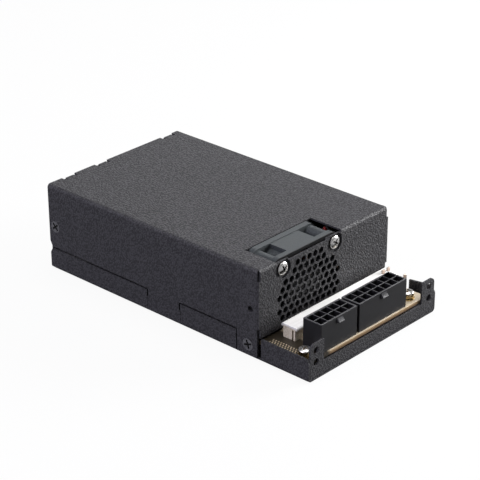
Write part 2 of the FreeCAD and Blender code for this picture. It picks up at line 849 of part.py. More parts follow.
pad(coverPanel, "PanelFold", "YZ", [[
    (panelFace, "panelFoot"), (panelFace, "caseHeight"), (f"{wallFront} + bendRadius", "caseHeight"),
    (f"{wallFront} + bendRadius", "caseHeight - sheetThick"),
    (panelBack, "caseHeight - sheetThick"), (panelBack, "panelFoot"),
]], f"-{panelHalf}", panelHalf)
bends(coverPanel, "PanelBend", 0,
      lambda middle, near: middle.z > topHeight - near and middle.y < panelPlace + near,
      lambda middle, near: max(abs(middle.z - topHeight + gauge), abs(middle.y - panelPlace - gauge)) < near)
pad(coverPanel, "PanelEdges", "XZ",
    mirrored((f"{panelHalf} - sheetThick", half), ("notchTop", "caseHeight - reliefDepth")), panelFace,
    panelBack)
hookSpots = ["hookLeft", "hookMiddle", "hookRight"]
hooks = []
hookNotches = []
hookFace = f"({rearFace} - coverGap)"
for order, spot in enumerate(hookSpots):
    hookBody = newBody(f"Hook{order}")
    pad(hookBody, f"HookFold{order}", "YZ", [[
        (hookFace, "caseHeight"), (hookFace, "caseHeight - hookDrop"),
        (f"{hookFace} - sheetThick", "caseHeight - hookDrop"),
        (f"{hookFace} - sheetThick", "caseHeight - sheetThick"),
        (f"{hookFace} - 3 * sheetThick", "caseHeight - sheetThick"),
        (f"{hookFace} - 3 * sheetThick", "caseHeight"),
    ]], f"{spot} - hookWidth / 2", f"{spot} + hookWidth / 2")
    hooks.append(hookBody)
    hookNotches.append(block(f"HookNotch{order}",
                             (f"{spot} - hookWidth / 2 - hookNotch",
                              f"{spot} + hookWidth / 2 + hookNotch"),
                             (f"{hookFace} - 2 * sheetThick", f"{rear} + cutPast"),
                             ("caseHeight - 2 * sheetThick", "caseHeight + cutPast")))
fanScrewSides = [f"(fanSide {sign} fanHoleSpacing / 2)" for sign in ("-", "+")]
dimpleWells = []
dimpleCups = []
fanScrewHoles = []
for order, side in enumerate(fanScrewSides):
    well = [side, f"{panelFace} - cutPast", fanScrewLift]
    dimpleWells.append(rod(f"DimpleWell{order}", well, "y", "dimpleRadius", "cutPast + dimpleDepth"))
    dimpleCups.append(rod(f"DimpleCup{order}", [side, f"{panelBack} - sheetThick / 2", fanScrewLift], "y",
                          "dimpleRadius + sheetThick", "sheetThick / 2 + dimpleDepth"))
    fanScrewHoles.append(rod(f"FanScrewHole{order}", well, "y", "fanScrewRadius + screwGap",
                             "cutPast + dimpleDepth + 3 * sheetThick"))
screwClear = number("hexScrewClear")
screwOffset = number("fanHoleSpacing") / 2
fieldRadius = number("hexField")
lowestHole = number("panelFoot") + number("hexPitch") / 2 + gauge
highestHole = topHeight - number("hexPitch")


def grilleKeeps(across, rise):
    clearOfScrews = math.hypot(abs(across) - screwOffset, rise - screwOffset) > screwClear
    inHeight = lowestHole < topHeight / 2 + rise < highestHole
    return math.hypot(across, rise) < fieldRadius and clearOfScrews and inHeight


fieldCount = math.ceil(fieldRadius / number("hexPitch")) + 1
grille = hexRows("Grille", panelPlace - gauge, 3 * gauge, (number("fanSide"), topHeight / 2), grilleKeeps,
                 fieldCount, fieldCount)
notched = cut("CoverNotched", joined("CoverFolds", [coverSides, coverPanel]), hookNotches)
coverBlank = joined("CoverBlank", [notched] + hooks + dimpleCups)
wallSpan = (f"-{half} - cutPast", f"{half} + cutPast")
coverTools = [
    block("CornerFootCut", wallSpan, (f"{panelFace} - cutPast", f"{cornerEnd} - seamLine"),
          ("-cutPast", "cornerFoot")),
    block("FrontWindow", wallSpan, (f"{cornerEnd} - seamLine", f"{tongueFront} + seamLine"),
          ("-cutPast", windowTop)),
    block("RearWindow", wallSpan, (f"{tongueRear} - seamLine", f"{rear} + cutPast"),
          ("-cutPast", windowTop)),
    block("FrontSlot", wallSpan, (f"{tongueFront} + seamLine / 2", f"{tongueFront} + slotWidth"),
          ("slotFoot", f"{windowTop} - seamGap / 2")),
    block("RearSlot", wallSpan, (f"{tongueRear} - slotWidth", f"{tongueRear} - seamLine / 2"),
          ("slotFoot", f"{windowTop} - seamGap / 2")),
    block("FanTopRoom", fanSpan, (f"{panelFace} - cutPast", fanRoom[1]),
          ("caseHeight - cutDrop", "caseHeight + 2 * dimpleRadius")),
    grille,
]
coverTools += dimpleWells + fanScrewHoles
coverTools += acrossRods("CoverSideHole", [(sideHolePlace, "sideHoleLift")], "sideHoleRadius")
for order, (back, lift) in enumerate(screwSpots):
    for side, axis in ((f"-{half}", "x"), (half, "-x")):
        coverTools.append(cone(f"Countersink{order}{axis}", [side, back, lift], axis,
                               "sideScrewHead + screwGap",
                               "sideScrewRadius + screwGap", "sheetThick"))
node("top_cover", cut("TopCover", coverBlank, coverTools))

# Countersunk screws of the side walls
coverScrews = []
for order, (back, lift) in enumerate(screwSpots):
    for side, axis in ((f"-{half}", "x"), (half, "-x")):
        coverScrews.append(flatScrew(f"CoverScrew{order}{axis}", [side, back, lift], axis,
                                     "sideScrewHead",
                                     "sideScrewRadius", "sideScrewLength"))
node("cover_screws", grouped("CoverScrews", coverScrews))

# Fan frame: a ring between two square flanges, with flat pads, corner bosses and a motor plate on struts
fanPlace = ("fanSide", fanFront, fanLift)
frame = newBody("FanFrame", fanPlace)
square = oblong(("-fanSize / 2", "fanSize / 2"), ("-fanSize / 2", "fanSize / 2"))
pad(frame, "FanRing", "XZ", [("0", "0", "fanBore + fanRingWall")], "0", "fanDepth")
pad(frame, "FanFrontFlange", "XZ", [square], "0", "fanFlange")
pad(frame, "FanRearFlange", "XZ", [square], "fanDepth - fanFlange", "fanDepth")
flangeEdge = number("fanSize") / 2 - gauge
rounded(frame, "FanCorners", 1, "fanCorner",
        lambda middle: min(abs(middle.x), abs(middle.z)) > flangeEdge)
webSpan = ("fanFlange / 2", "fanDepth - fanFlange / 2")
padTop = "(fanSize / 2 - fanPadDrop)"
pad(frame, "FanPadsUpright", "XZ", [oblong(("-fanPadHalf", "fanPadHalf"), (f"-{padTop}", padTop))], *webSpan)
pad(frame, "FanPadsLevel", "XZ", [oblong((f"-{padTop}", padTop), ("-fanPadHalf", "fanPadHalf"))], *webSpan)
fanCorners = [(f"{u}fanHoleSpacing / 2", f"{v}fanHoleSpacing / 2") for u in ("", "-") for v in ("", "-")]
pad(frame, "FanBosses", "XZ", [(u, v, "fanBoss") for u, v in fanCorners], *webSpan)
pocket(frame, "FanBoreCut", "XZ", [("0", "0", "fanBore")], "0", "fanDepth")
pocket(frame, "FanScrewHoles", "XZ", [(u, v, "fanHoleRadius") for u, v in fanCorners], "0", "fanDepth")
strut = pad(frame, "FanStrut", "XZ",
            [oblong(("-strutWidth / 2", "strutWidth / 2"), ("bushOuter", "fanBore + strutSink"))],
            "fanDepth - strutDepth", "fanDepth")
turned(frame, "FanStruts", [strut], "4")
pad(frame, "MotorPlate", "XZ", [("0", "0", "motorPlate")], "fanDepth - strutDepth", "fanDepth")
pad(frame, "BushTube", "XZ", [("0", "0", "bushOuter + tubeWall")],
    "fanDepth - strutDepth - bushLength", "fanDepth - strutDepth")
pocket(frame, "BushBore", "XZ", [("0", "0", "bushOuter")],
       "fanDepth - strutDepth - bushLength", "fanDepth - strutDepth / 2")
node("fan_frame", frame)

# Fan motor: bush, shaft, drive board, stator and magnet ring
bushStart = "(fanDepth - strutDepth - bushLength)"
bush = newBody("FanBush", fanPlace)
pad(bush, "BushRing", "XZ", [("0", "0", "bushOuter"), ("0", "0", "shaftRadius + shaftGap")],
    bushStart, "fanDepth - strutDepth")
node("fan_bearing", bush)
hubFloor = "(hubSetback + hubCap)"
shaft = newBody("FanShaft", fanPlace)
pad(shaft, "ShaftRod", "XZ", [("0", "0", "shaftRadius")], "hubSetback", "fanDepth - strutDepth")
node("fan_shaft", shaft)
fanBoardFace = "(fanDepth - strutDepth - boardThick / 2)"
fanBoard = newBody("FanBoard", fanPlace)
pad(fanBoard, "FanBoardDisc", "XZ",
    [("0", "0", "motorPlate - hubWall"), ("0", "0", "bushOuter + tubeWall")],
    fanBoardFace, "fanDepth - strutDepth")
node("fan_drive_board", fanBoard)
coreMiddle = f"(({hubFloor} + hubBossLength + {fanBoardFace}) / 2)"
coreSpan = (f"{coreMiddle} - coreLength / 2", f"{coreMiddle} + coreLength / 2")
stator = newBody("FanStator", fanPlace)
pad(stator, "StatorRing", "XZ",
    [("0", "0", "bushOuter + tubeWall + poleWidth / 2"), ("0", "0", "bushOuter + tubeWall")],
    *coreSpan)
pole = pad(stator, "StatorPole", "XZ", [[
    ("-poleWidth / 2", "bushOuter + tubeWall + poleRoot"),
    ("poleWidth / 2", "bushOuter + tubeWall + poleRoot"),
    ("poleWidth / 2", "coreRadius - coreHead"), ("poleShoe", "coreRadius - coreHead"),
    ("poleShoeTip", "coreRadius - coreHead / 4"), ("-poleShoeTip", "coreRadius - coreHead / 4"),
    ("-poleShoe", "coreRadius - coreHead"), ("-poleWidth / 2", "coreRadius - coreHead"),
]], *coreSpan)
turned(stator, "StatorPoles", [pole], "4")
node("fan_stator", stator)
coilFoot = "(bushOuter + tubeWall + poleWidth / 2 + 2 * coilGap)"
coils = newBody("FanCoils", fanPlace)
coil = pad(coils, "Coil", "XY", [
    oblong(("-poleWidth / 2 - coilWall", "poleWidth / 2 + coilWall"),
           (f"{coreSpan[0]} - coilWall", f"{coreSpan[1]} + coilWall")),
    oblong(("-poleWidth / 2 - coilGap", "poleWidth / 2 + coilGap"),
           (f"{coreSpan[0]} - coilGap", f"{coreSpan[1]} + coilGap")),
], coilFoot, "coreRadius - coreHead - 2 * coilGap")
coilTurns = coils.newObject("PartDesign::PolarPattern", "CoilTurns")
coilTurns.Originals = [coil]
coilTurns.Axis = (next(item for item in coils.Origin.OriginFeatures if item.Role == "Y_Axis"), [""])
coilTurns.Angle = 360
coilTurns.Occurrences = 4
coils.Tip = coilTurns
node("fan_coils", coils)
magnetOuter = "(hubRadius - hubWall)"
magnet = newBody("FanMagnet", fanPlace)
pad(magnet, "MagnetRing", "XZ", [("0", "0", magnetOuter), ("0", "0", f"{magnetOuter} - magnetWall")],
    hubFloor, f"{hubFloor} + magnetLength")
node("fan_magnet", magnet)

# Fan rotor: a cup with a boss for the shaft, and cambered blades lofted from root to tip
rotorCup = newBody("RotorCup", fanPlace)
pad(rotorCup, "CupWall", "XZ", [("0", "0", "hubRadius"), ("0", "0", magnetOuter)], "hubSetback",
    "hubSetback + hubLength")
pad(rotorCup, "CupCap", "XZ", [("0", "0", "hubRadius - hubWall / 2"), ("0", "0", "shaftRadius")],
    "hubSetback", hubFloor)
pad(rotorCup, "CupBoss", "XZ", [("0", "0", "hubBoss"), ("0", "0", "shaftRadius")], hubFloor,
    f"{hubFloor} + hubBossLength")


def bladeSection(radius, turnDegrees):
    lean = math.radians(turnDegrees)
    chord = Vector(math.cos(lean), math.sin(lean), 0) * (number("bladeChord") / 2)
    normal = Vector(-math.sin(lean), math.cos(lean), 0)
    middle = Vector(0, number("hubSetback") + number("hubLength") / 2, radius)
    skin = normal * (number("bladeThick") / 2)
    camber = normal * number("bladeCamber")
    upper = Part.Arc(middle - chord + skin, middle + camber + skin, middle + chord + skin).toShape()
    lower = Part.Arc(middle + chord - skin, middle + camber - skin, middle - chord - skin).toShape()
    tail = Part.LineSegment(middle + chord + skin, middle + chord - skin).toShape()
    nose = Part.LineSegment(middle - chord - skin, middle - chord + skin).toShape()
    return Part.Wire([upper, tail, lower, nose])


bladeRoot = number("hubRadius") - number("hubWall")
bladeTip = number("fanBore") - number("bladeTipGap")
bladeSpan = bladeTip - bladeRoot
sections = []
for radius in (bladeRoot, bladeRoot + bladeSpan / 2, bladeTip + number("cutPast")):
    share = (radius - bladeRoot) / bladeSpan
    lean = number("bladeRootTurn") + (number("bladeTipTurn") - number("bladeRootTurn")) * share
    sections.append(bladeSection(radius, lean))
firstBlade = Part.makeLoft(sections, True, False)
tipTube = Part.makeCylinder(bladeTip, number("fanDepth"), Vector(), Vector(0, 1, 0))
cupMiddle = number("hubRadius") - number("hubWall") / 2
rootTube = Part.makeCylinder(cupMiddle, number("fanDepth"), Vector(), Vector(0, 1, 0))
firstBlade = firstBlade.common(tipTube).cut(rootTube)
blades = doc.addObject("Part::Feature", "FanBlades")
bladeTurn = 360 / number("bladeCount")
blades.Shape = Part.makeCompound([firstBlade.rotated(Vector(), Vector(0, 1, 0), order * bladeTurn)
                                  for order in range(int(number("bladeCount")))])
put(blades, fanPlace)
node("fan_rotor", joined("FanRotor", [rotorCup, blades]))

# Silver screws that hold the fan through the dimples
fanScrews = [panScrew(f"FanScrew{order}", [side, f"{panelFace} + dimpleDepth", fanScrewLift], "y",
                      "fanScrewHead",
                      "fanScrewHeadHeight", "fanScrewRadius", "fanScrewLength")
             for order, side in enumerate(fanScrewSides)]
node("fan_screws", grouped("FanScrews", fanScrews))

# Output board in the tray, with an arm that passes beside the fan
outputBoard = newBody("OutputBoard")
boardRear = f"({panelBack} + boardGap)"
pad(outputBoard, "OutputBoardPlate", "XY", [[
    (f"-{boardHalf}", boardFront), ("boardRight", boardFront), ("boardRight", f"{fanRear} + armReach"),
    ("boardArm", f"{fanRear} + armReach"), ("boardArm", boardRear), (f"-{boardHalf}", boardRear),
]], "boardLift", boardTop)
pocket(outputBoard, "TrayScrewHoles", "XY",
       [("traySpotLeft", traySpot, "boardScrewRadius + screwGap"),
        ("traySpotRight", traySpot, "boardScrewRadius + screwGap")],
       "boardLift - cutPast", f"{boardTop} + cutPast")
pinSpots = {}
headers = {"small": ("smallHeaderLeft", "smallHeaderWays", "10_way"),
           "large": ("largeHeaderLeft", "largeHeaderWays", "14_way")}
rowMiddle = f"({headerFace} + headerDepth / 2)"
for name, (left, ways, label) in headers.items():
    firstPin = f"({left} + headerEnd + pinPitch / 2)"
    pinSpots[name] = (firstPin, [f"({rowMiddle} - pinPitch / 2)", f"({rowMiddle} + pinPitch / 2)"])
    holes = pocket(outputBoard, f"{name}PinHoles", "XY",
                   [(firstPin, row, "pinHoleRadius") for row in pinSpots[name][1]],
                   "boardLift - cutPast", f"{boardTop} + cutPast")
    inRow(outputBoard, f"{name}PinHoleRow", [holes], "pinPitch", ways)
node("output_board", outputBoard)

# Output headers: a block of open cells with a latch ramp on the front, and square pins through its floor
for name, (left, ways, label) in headers.items():
    header = newBody(f"{name}Header")
    right = f"({left} + 2 * headerEnd + pinPitch * {ways})"
    top = f"({boardTop} + headerHeight)"
    pad(header, f"{name}HeaderBlock", "XY",
        [oblong((left, right), (headerFace, f"{headerFace} + headerDepth"))],
        boardTop, top)
    firstPin, rows = pinSpots[name]
    reach = "(pinPitch / 2 - cellWall / 2)"
    cell = pocket(header, f"{name}Cell", "XY",
                  [oblong((f"{firstPin} - {reach}", f"{firstPin} + {reach}"),
                          (f"{row} - {reach}", f"{row} + {reach}"))
                   for row in rows], f"{boardTop} + headerFloor", f"{top} + cutPast")
    inRow(header, f"{name}Cells", [cell], "pinPitch", ways)
    fit = "(pinWidth / 2 + pinGap)"
    hole = pocket(header, f"{name}FloorHole", "XY",
                  [oblong((f"{firstPin} - {fit}", f"{firstPin} + {fit}"),
                          (f"{row} - {fit}", f"{row} + {fit}"))
                   for row in rows], f"{boardTop} - cutPast", f"{boardTop} + headerFloor + cutPast")
    inRow(header, f"{name}FloorHoles", [hole], "pinPitch", ways)
    rampTop = f"({top} - rampSet)"
    middle = f"(({left} + {right}) / 2)"
    pad(header, f"{name}Ramp", "YZ", [[
        (headerFace, rampTop), (headerFace, f"{rampTop} - rampHeight"),
        (f"{headerFace} - rampDepth", f"{rampTop} - rampLip"),
    ]], f"{middle} - rampWidth / 2", f"{middle} + rampWidth / 2")
    node(f"output_header_{label}", header)
    pins = newBody(f"{name}Pins")
    pin = pad(pins, f"{name}Pin", "XY",
              [oblong((f"{firstPin} - pinWidth / 2", f"{firstPin} + pinWidth / 2"),
                      (f"{row} - pinWidth / 2", f"{row} + pinWidth / 2")) for row in rows],
              "boardLift - pinTail", f"{top} - pinShort")
    inRow(pins, f"{name}PinRow", [pin], "pinPitch", ways)
    node(f"header_pins_{label}", pins)

# Board screws with flat and spring washers on hexagonal standoffs
traySpots = [("traySpotLeft", traySpot), ("traySpotRight", traySpot)]
mainSpots = [(f"{side}(mainBoardHalf - mainSpotSide)", back)
             for side in ("-", "") for back in (f"({mainFront} + mainSpotFront)",
                                                f"({mainRear} - mainSpotRear)")]


def standoffs(name, spots):
    items = []
    for order, (side, back) in enumerate(spots):
        post = prism(f"{name}Post{order}", [side, back, "sheetThick"], "z", "standoffRadius",
                     "boardLift - sheetThick")
        bore = rod(f"{name}Bore{order}", [side, back, "sheetThick"], "z", "boardScrewRadius",
                   "boardLift - sheetThick")
        items.append(cut(f"{name}{order}", post, [bore]))
    return grouped(name, items)


def boardScrews(name, spots):
    items = []
    seat = f"({boardTop} + washerThick + springThick)"
    for order, (side, back) in enumerate(spots):
        head = rod(f"{name}Head{order}", [side, back, seat], "z", "boardScrewHead",
                   "boardScrewHeadHeight / 2")
        dome = cone(f"{name}Dome{order}", [side, back, f"{seat} + boardScrewHeadHeight / 2"], "z",
                    "boardScrewHead",
                    "boardScrewHead * domeTaper", "boardScrewHeadHeight / 2")
        stem = rod(f"{name}Stem{order}", [side, back, f"{seat} - boardScrewLength"], "z",
                   "boardScrewRadius",
                   "boardScrewLength")
        items.append(joined(f"{name}{order}", [head, dome, stem]))
    return grouped(name, items)


def washers(name, spots):
    items = []
    for order, (side, back) in enumerate(spots):
        disc = rod(f"{name}Disc{order}", [side, back, boardTop], "z", "washerRadius", "washerThick")
        spring = rod(f"{name}Spring{order}", [side, back, boardTop], "z", "springRadius",
                     "washerThick + springThick")
        bore = rod(f"{name}Bore{order}", [side, back, boardTop], "z", "boardScrewRadius + screwGap",
                   "washerThick + springThick")
        items.append(cut(f"{name}{order}", joined(f"{name}Stack{order}", [disc, spring]), [bore]))
    return grouped(name, items)


node("tray_standoffs", standoffs("TrayStandoff", traySpots))
node("tray_screws", boardScrews("TrayScrew", traySpots))
node("tray_lock_washers", washers("TrayWasher", traySpots))
node("main_standoffs", standoffs("MainStandoff", mainSpots))
node("main_board_screws", boardScrews("MainScrew", mainSpots))
node("main_lock_washers", washers("MainWasher", mainSpots))

# Output bus: a lid with short lips over a slotted core with two posts, and bars back to the main board
capTop = f"({boardTop} + capHeight)"
lipFoot = f"({capTop} - capLip)"
capRear = f"({capFace} + capDepth)"
busCap = newBody("BusCap")
pad(busCap, "CapChannel", "YZ", [[
    (capFace, lipFoot), (capFace, capTop), (capRear, capTop), (capRear, lipFoot),
    (f"{capRear} - capWall", lipFoot), (f"{capRear} - capWall", f"{capTop} - capWall"),
    (f"{capFace} + capWall", f"{capTop} - capWall"), (f"{capFace} + capWall", lipFoot),
]], "capLeft", "capRight")
capTopNumber = number("boardLift") + number("boardThick") + number("capHeight")
rounded(busCap, "CapRound", 0, "capRound", lambda middle: middle.z > capTopNumber - number("capWall") / 4)
legFront = f"({capFace} + capWall + busGap)"
legBack = f"({legFront} + busLeg)"
coreFront = f"({legBack} + busSlot)"
coreRear = f"({capRear} - capWall - busGap)"
coreTop = f"({capTop} - capWall)"
postBack = f"(({coreFront} + {coreRear}) / 2)"
postSpans = [((f"postSide - {step} * postStep - postWidth / 2",
               f"postSide - {step} * postStep + postWidth / 2"),
              (f"{postBack} - postThick / 2", f"{postBack} + postThick / 2")) for step in (0, 1)]
slack = "busGap"
pocket(busCap, "PostWindows", "XY",
       [oblong((f"{u[0]} - {slack}", f"{u[1]} + {slack}"),
               (f"{v[0]} - {slack}", f"{v[1]} + {slack}")) for u, v in postSpans],
       f"{coreTop} - cutPast", f"{capTop} + cutPast")
node("bus_cap", busCap)
busCore = newBody("BusCore")
pad(busCore, "CoreBlock", "XY",
    [oblong(("capLeft + busGap", "capRight - busGap"), (legFront, coreRear))], boardTop, coreTop)
pocket(busCore, "CoreSlot", "XY", [oblong(("capLeft", "capRight"), (legBack, coreFront))],
       f"{boardTop} - cutPast", f"{coreTop} - busLeg")
pocket(busCore, "PostSlots", "XY", [oblong(u, v) for u, v in postSpans], f"{boardTop} - cutPast",
       f"{coreTop} + cutPast")
node("bus_core", busCore)
busPosts = [block(f"BusPost{order}", u, v, (boardTop, f"{capTop} + postRise"))
            for order, (u, v) in enumerate(postSpans)]
busPosts.append(block("SensePost", ("sensePostSide - postWidth / 2", "sensePostSide + postWidth / 2"),
                      (f"{front} + sensePostBack - postThick / 2",
                       f"{front} + sensePostBack + postThick / 2"),
                      (boardTop, f"{boardTop} + sensePostRise")))
node("bus_posts", grouped("BusPosts", busPosts))
busBars = []
barStart = f"({fanRear} - busBarFoot / 2)"
barEnd = f"({mainFront} + busBarFoot)"
barTop = f"({boardTop} + busBarHeight)"
for order in range(2):
    left = f"(busBarSide + {order} * busBarPitch)"
    bar = newBody(f"BusBar{order}")
    pad(bar, f"BusBarBridge{order}", "YZ", [[
        (barStart, boardTop), (barStart, barTop), (barEnd, barTop), (barEnd, boardTop),
        (f"{barEnd} - busBarThick", boardTop), (f"{barEnd} - busBarThick", f"{barTop} - busBarThick"),
        (f"{barStart} + busBarThick", f"{barTop} - busBarThick"), (f"{barStart} + busBarThick", boardTop),
    ]], left, f"{left} + busBarWidth")
    busBars.append(bar)
node("bus_bars", grouped("BusBars", busBars))

# Main board on its standoffs, with an insulating sheet below
mainBoard = newBody("MainBoard")
pad(mainBoard, "MainBoardPlate", "XY",
    [oblong(("-mainBoardHalf", "mainBoardHalf"), (mainFront, mainRear))], "boardLift", boardTop)
pocket(mainBoard, "MainScrewHoles", "XY",
       [(side, back, "boardScrewRadius + screwGap") for side, back in mainSpots],
       "boardLift - cutPast", f"{boardTop} + cutPast")
node("main_board", mainBoard)
insulator = newBody("Insulator")
pad(insulator, "InsulatorSheet", "XY",
    [oblong(("-mainBoardHalf", "mainBoardHalf"), (mainFront, mainRear))],
    "sheetThick", "sheetThick + sheetInsulator")
pocket(insulator, "InsulatorHoles", "XY",
       [(side, back, "standoffRadius + screwGap") for side, back in mainSpots],
       "sheetThick - cutPast", "sheetThick + sheetInsulator + cutPast")
node("insulating_sheet", insulator)


# An electrolytic can with a rounded top rim and a crimp groove near its foot
def can(name, place, radius, height):
    body = newBody(name, place)
    revolved(body, name + "Turn", [[
        ("0", "0"), (radius, "0"), (radius, "crimpLift"),
        (f"({radius}) - crimpDepth", "crimpLift + crimpWidth / 2"), (radius, "crimpLift + crimpWidth"),
        (radius, f"({height}) - canRound"), (f"({radius}) - canRound", height),
        ("0", height),
    ]])
    return body


node("bulk_capacitor", can("BulkCan", ("bulkSide", "bulkBack", boardTop), "bulkRadius", "bulkHeight"))
outputCans = []
for order in range(int(number("canCount"))):
    outputCans.append(can(f"OutputCan{order}", (f"canSide + {order} * canPitch", "canBack", boardTop),
                          "canRadius", "canHeight"))
node("output_capacitors", grouped("OutputCans", outputCans))

# Main transformer: a closed pair of E cores round a wound bobbin
coreLeft = "(coreSide - coreWidth / 2)"
coreFoot = boardTop
coreCeil = f"({boardTop} + coreHeight)"
core = newBody("TransformerCore")
pad(core, "CoreBlockE", "XZ", [oblong((coreLeft, f"{coreLeft} + coreWidth"), (coreFoot, coreCeil))],
    "coreBack - coreDepth / 2", "coreBack + coreDepth / 2")
pocket(core, "CoreWindows", "XZ",
       [oblong((f"{coreLeft} + coreLimb", "coreSide - coreLimb"),
               (f"{coreFoot} + coreLimb", f"{coreCeil} - coreLimb")),
        oblong(("coreSide + coreLimb", f"{coreLeft} + coreWidth - coreLimb"),
               (f"{coreFoot} + coreLimb", f"{coreCeil} - coreLimb"))],
       "coreBack - coreDepth / 2 - cutPast", "coreBack + coreDepth / 2 + cutPast")
node("transformer_core", core)
winding = newBody("Winding")
windLow = f"({coreFoot} + coreLimb + windingGap)"
windHigh = f"({coreCeil} - coreLimb - windingGap)"
windOut = "(coreWidth / 2 - coreLimb - windingGap)"
pad(winding, "WindingBlock", "XY", [
    oblong((f"coreSide - {windOut}", f"coreSide + {windOut}"),
           ("coreBack - coreDepth / 2 - windingOver", "coreBack + coreDepth / 2 + windingOver")),
    oblong(("coreSide - coreLimb - windingGap", "coreSide + coreLimb + windingGap"),
           ("coreBack - coreDepth / 2 - windingGap", "coreBack + coreDepth / 2 + windingGap")),
], windLow, windHigh)
pad(winding, "WindingFeet", "XY", [
    oblong((f"coreSide - {windOut}", f"coreSide + {windOut}"),
           ("coreBack - coreDepth / 2 - windingOver", "coreBack - coreDepth / 2 - windingGap")),
    oblong((f"coreSide - {windOut}", f"coreSide + {windOut}"),
           ("coreBack + coreDepth / 2 + windingGap", "coreBack + coreDepth / 2 + windingOver")),
], boardTop, windLow)
node("transformer_winding", winding)
standby = newBody("Standby")
standbyHalf = "standbySize / 2"
pad(standby, "StandbyCore", "XY",
    [oblong((f"standbySide - {standbyHalf}", f"standbySide + {standbyHalf}"),
                                          (f"standbyBack - {standbyHalf}",
                                           f"standbyBack + {standbyHalf}"))],
    boardTop, f"{boardTop} + standbySize")
rounded(standby, "StandbyRound", 2, "canRound", lambda middle: True)
node("standby_transformer", standby)


# A heatsink: an upright plate with fins on its rear side, and transistors on its front side
def heatsink(name, side, back, fins):
    body = newBody(name)
    length = f"(finPitch * ({fins} - 1) + finThick)"
    pad(body, name + "Plate", "XY", [oblong((side, f"{side} + {length}"), (f"{back} - sinkPlate", back))],
        boardTop, f"{boardTop} + sinkHeight")
    fin = pad(body, name + "Fin", "XY",
              [oblong((side, f"{side} + finThick"), (f"{back} - sinkPlate / 2", f"{back} + finReach"))],
              boardTop, f"{boardTop} + sinkHeight")
    inRow(body, name + "Fins", [fin], "finPitch", fins)
    return body


def package(name, left, back, width, height):
    body = newBody(name)
    lift = f"({boardTop} + transistorLift)"
    pad(body, name + "Body", "XY",
        [oblong((left, f"{left} + {width}"), (f"{back} - transistorThick", back))],
        lift, f"{lift} + {height}")
    legs = [oblong((f"{left} + {width} / 2 + {step} * legPitch - legWidth / 2",
                    f"{left} + {width} / 2 + {step} * legPitch + legWidth / 2"),
                   (f"{back} - transistorThick / 2 - legWidth / 2",
                    f"{back} - transistorThick / 2 + legWidth / 2"))
            for step in (-1, 0, 1)]
    pad(body, name + "Legs", "XY", legs, boardTop, lift)
    return body


node("secondary_heatsink", heatsink("SecondarySink", "secondarySide", "secondaryBack", "secondaryFins"))
secondaryFace = "(secondaryBack - sinkPlate)"
node("secondary_rectifiers", grouped("Rectifiers", [
    package(f"Rectifier{order}", f"(secondarySide + rectifierSet + {order} * rectifierPitch)",
            secondaryFace,
            "transistorWidth", "transistorHeight") for order in range(2)]))
node("primary_heatsink", heatsink("PrimarySink", "primarySide", "primaryBack", "primaryFins"))
primaryFace = "(primaryBack - sinkPlate)"
node("switching_transistors", grouped("Switches", [
    package(f"Switch{order}", f"(primarySide + switchSet + {order} * switchPitch)", primaryFace,
            "transistorWidth", "transistorHeight") for order in range(2)]))
node("bridge_rectifier",
     package("Bridge", "(primarySide + bridgeSet)", primaryFace, "bridgeWidth", "bridgeHeight"))


# A ring core lying on the board, and its windings as sleeves round part of the ring
def ring(name, side, back):
    body = newBody(name, (side, back, f"{boardTop} + turnWall"))
    pad(body, name + "Ring", "XY", [("0", "0", "ringOuter"), ("0", "0", "ringInner")], "0", "ringHeight")
    return body


def sleeves(name, side, back):
    items = []
    for order in range(2):
        body = newBody(f"{name}{order}", (side, back, f"{boardTop} + turnWall"))
        gap = "windingGap / 2"
        revolved(body, f"{name}Turn{order}", [
            oblong(("ringInner - turnWall", "ringOuter + turnWall"),
                   ("-turnWall", "ringHeight + turnWall")),
            oblong((f"ringInner - {gap}", f"ringOuter + {gap}"), (f"-{gap}", f"ringHeight + {gap}")),
        ], "turnAngle")
        body.Placement.Rotation = Rotation(Vector(0, 0, 1), 180 * order)
        items.append(body)
    return grouped(name, items)


for label, side, back in (("emi_choke", "chokeSide", "chokeBack"), ("pfc_choke", "pfcSide", "pfcBack"),
                          ("output_inductor", "inductorSide", "inductorBack")):
    name = label.title().replace("_", "")
    node(f"{label}_core", ring(name + "Core", side, back))
    node(f"{label}_winding", sleeves(name + "Winding", side, back))

film = newBody("FilmCapacitor")
pad(film, "FilmBlock", "XY", [oblong(("filmSide - filmWidth / 2", "filmSide + filmWidth / 2"),
                                     ("filmBack - filmDepth / 2", "filmBack + filmDepth / 2"))],
    boardTop, f"{boardTop} + filmHeight")
rounded(film, "FilmRound", 2, "canRound", lambda middle: True)
node("x_capacitor", film)
discs = [rod(f"Disc{order}",
             ["discSide", f"discBack + {order} * discPitch - discThick / 2", f"{boardTop} + discRadius"],
             "y", "discRadius", "discThick") for order in range(2)]
node("y_capacitors", grouped("Discs", discs))
fuseLift = f"({boardTop} + fuseRadius)"
fuseBody = rod("FuseGlass", ["fuseSide + fuseCap", "fuseBack", fuseLift], "x", "fuseGlassRadius",
               "fuseLength - 2 * fuseCap")
fuseEnds = [rod(f"FuseEnd{order}",
                [f"fuseSide + {order} * (fuseLength - fuseCap)", "fuseBack", fuseLift], "x",
                "fuseRadius", "fuseCap") for order in range(2)]
node("fuse", joined("Fuse", [fuseBody] + fuseEnds))

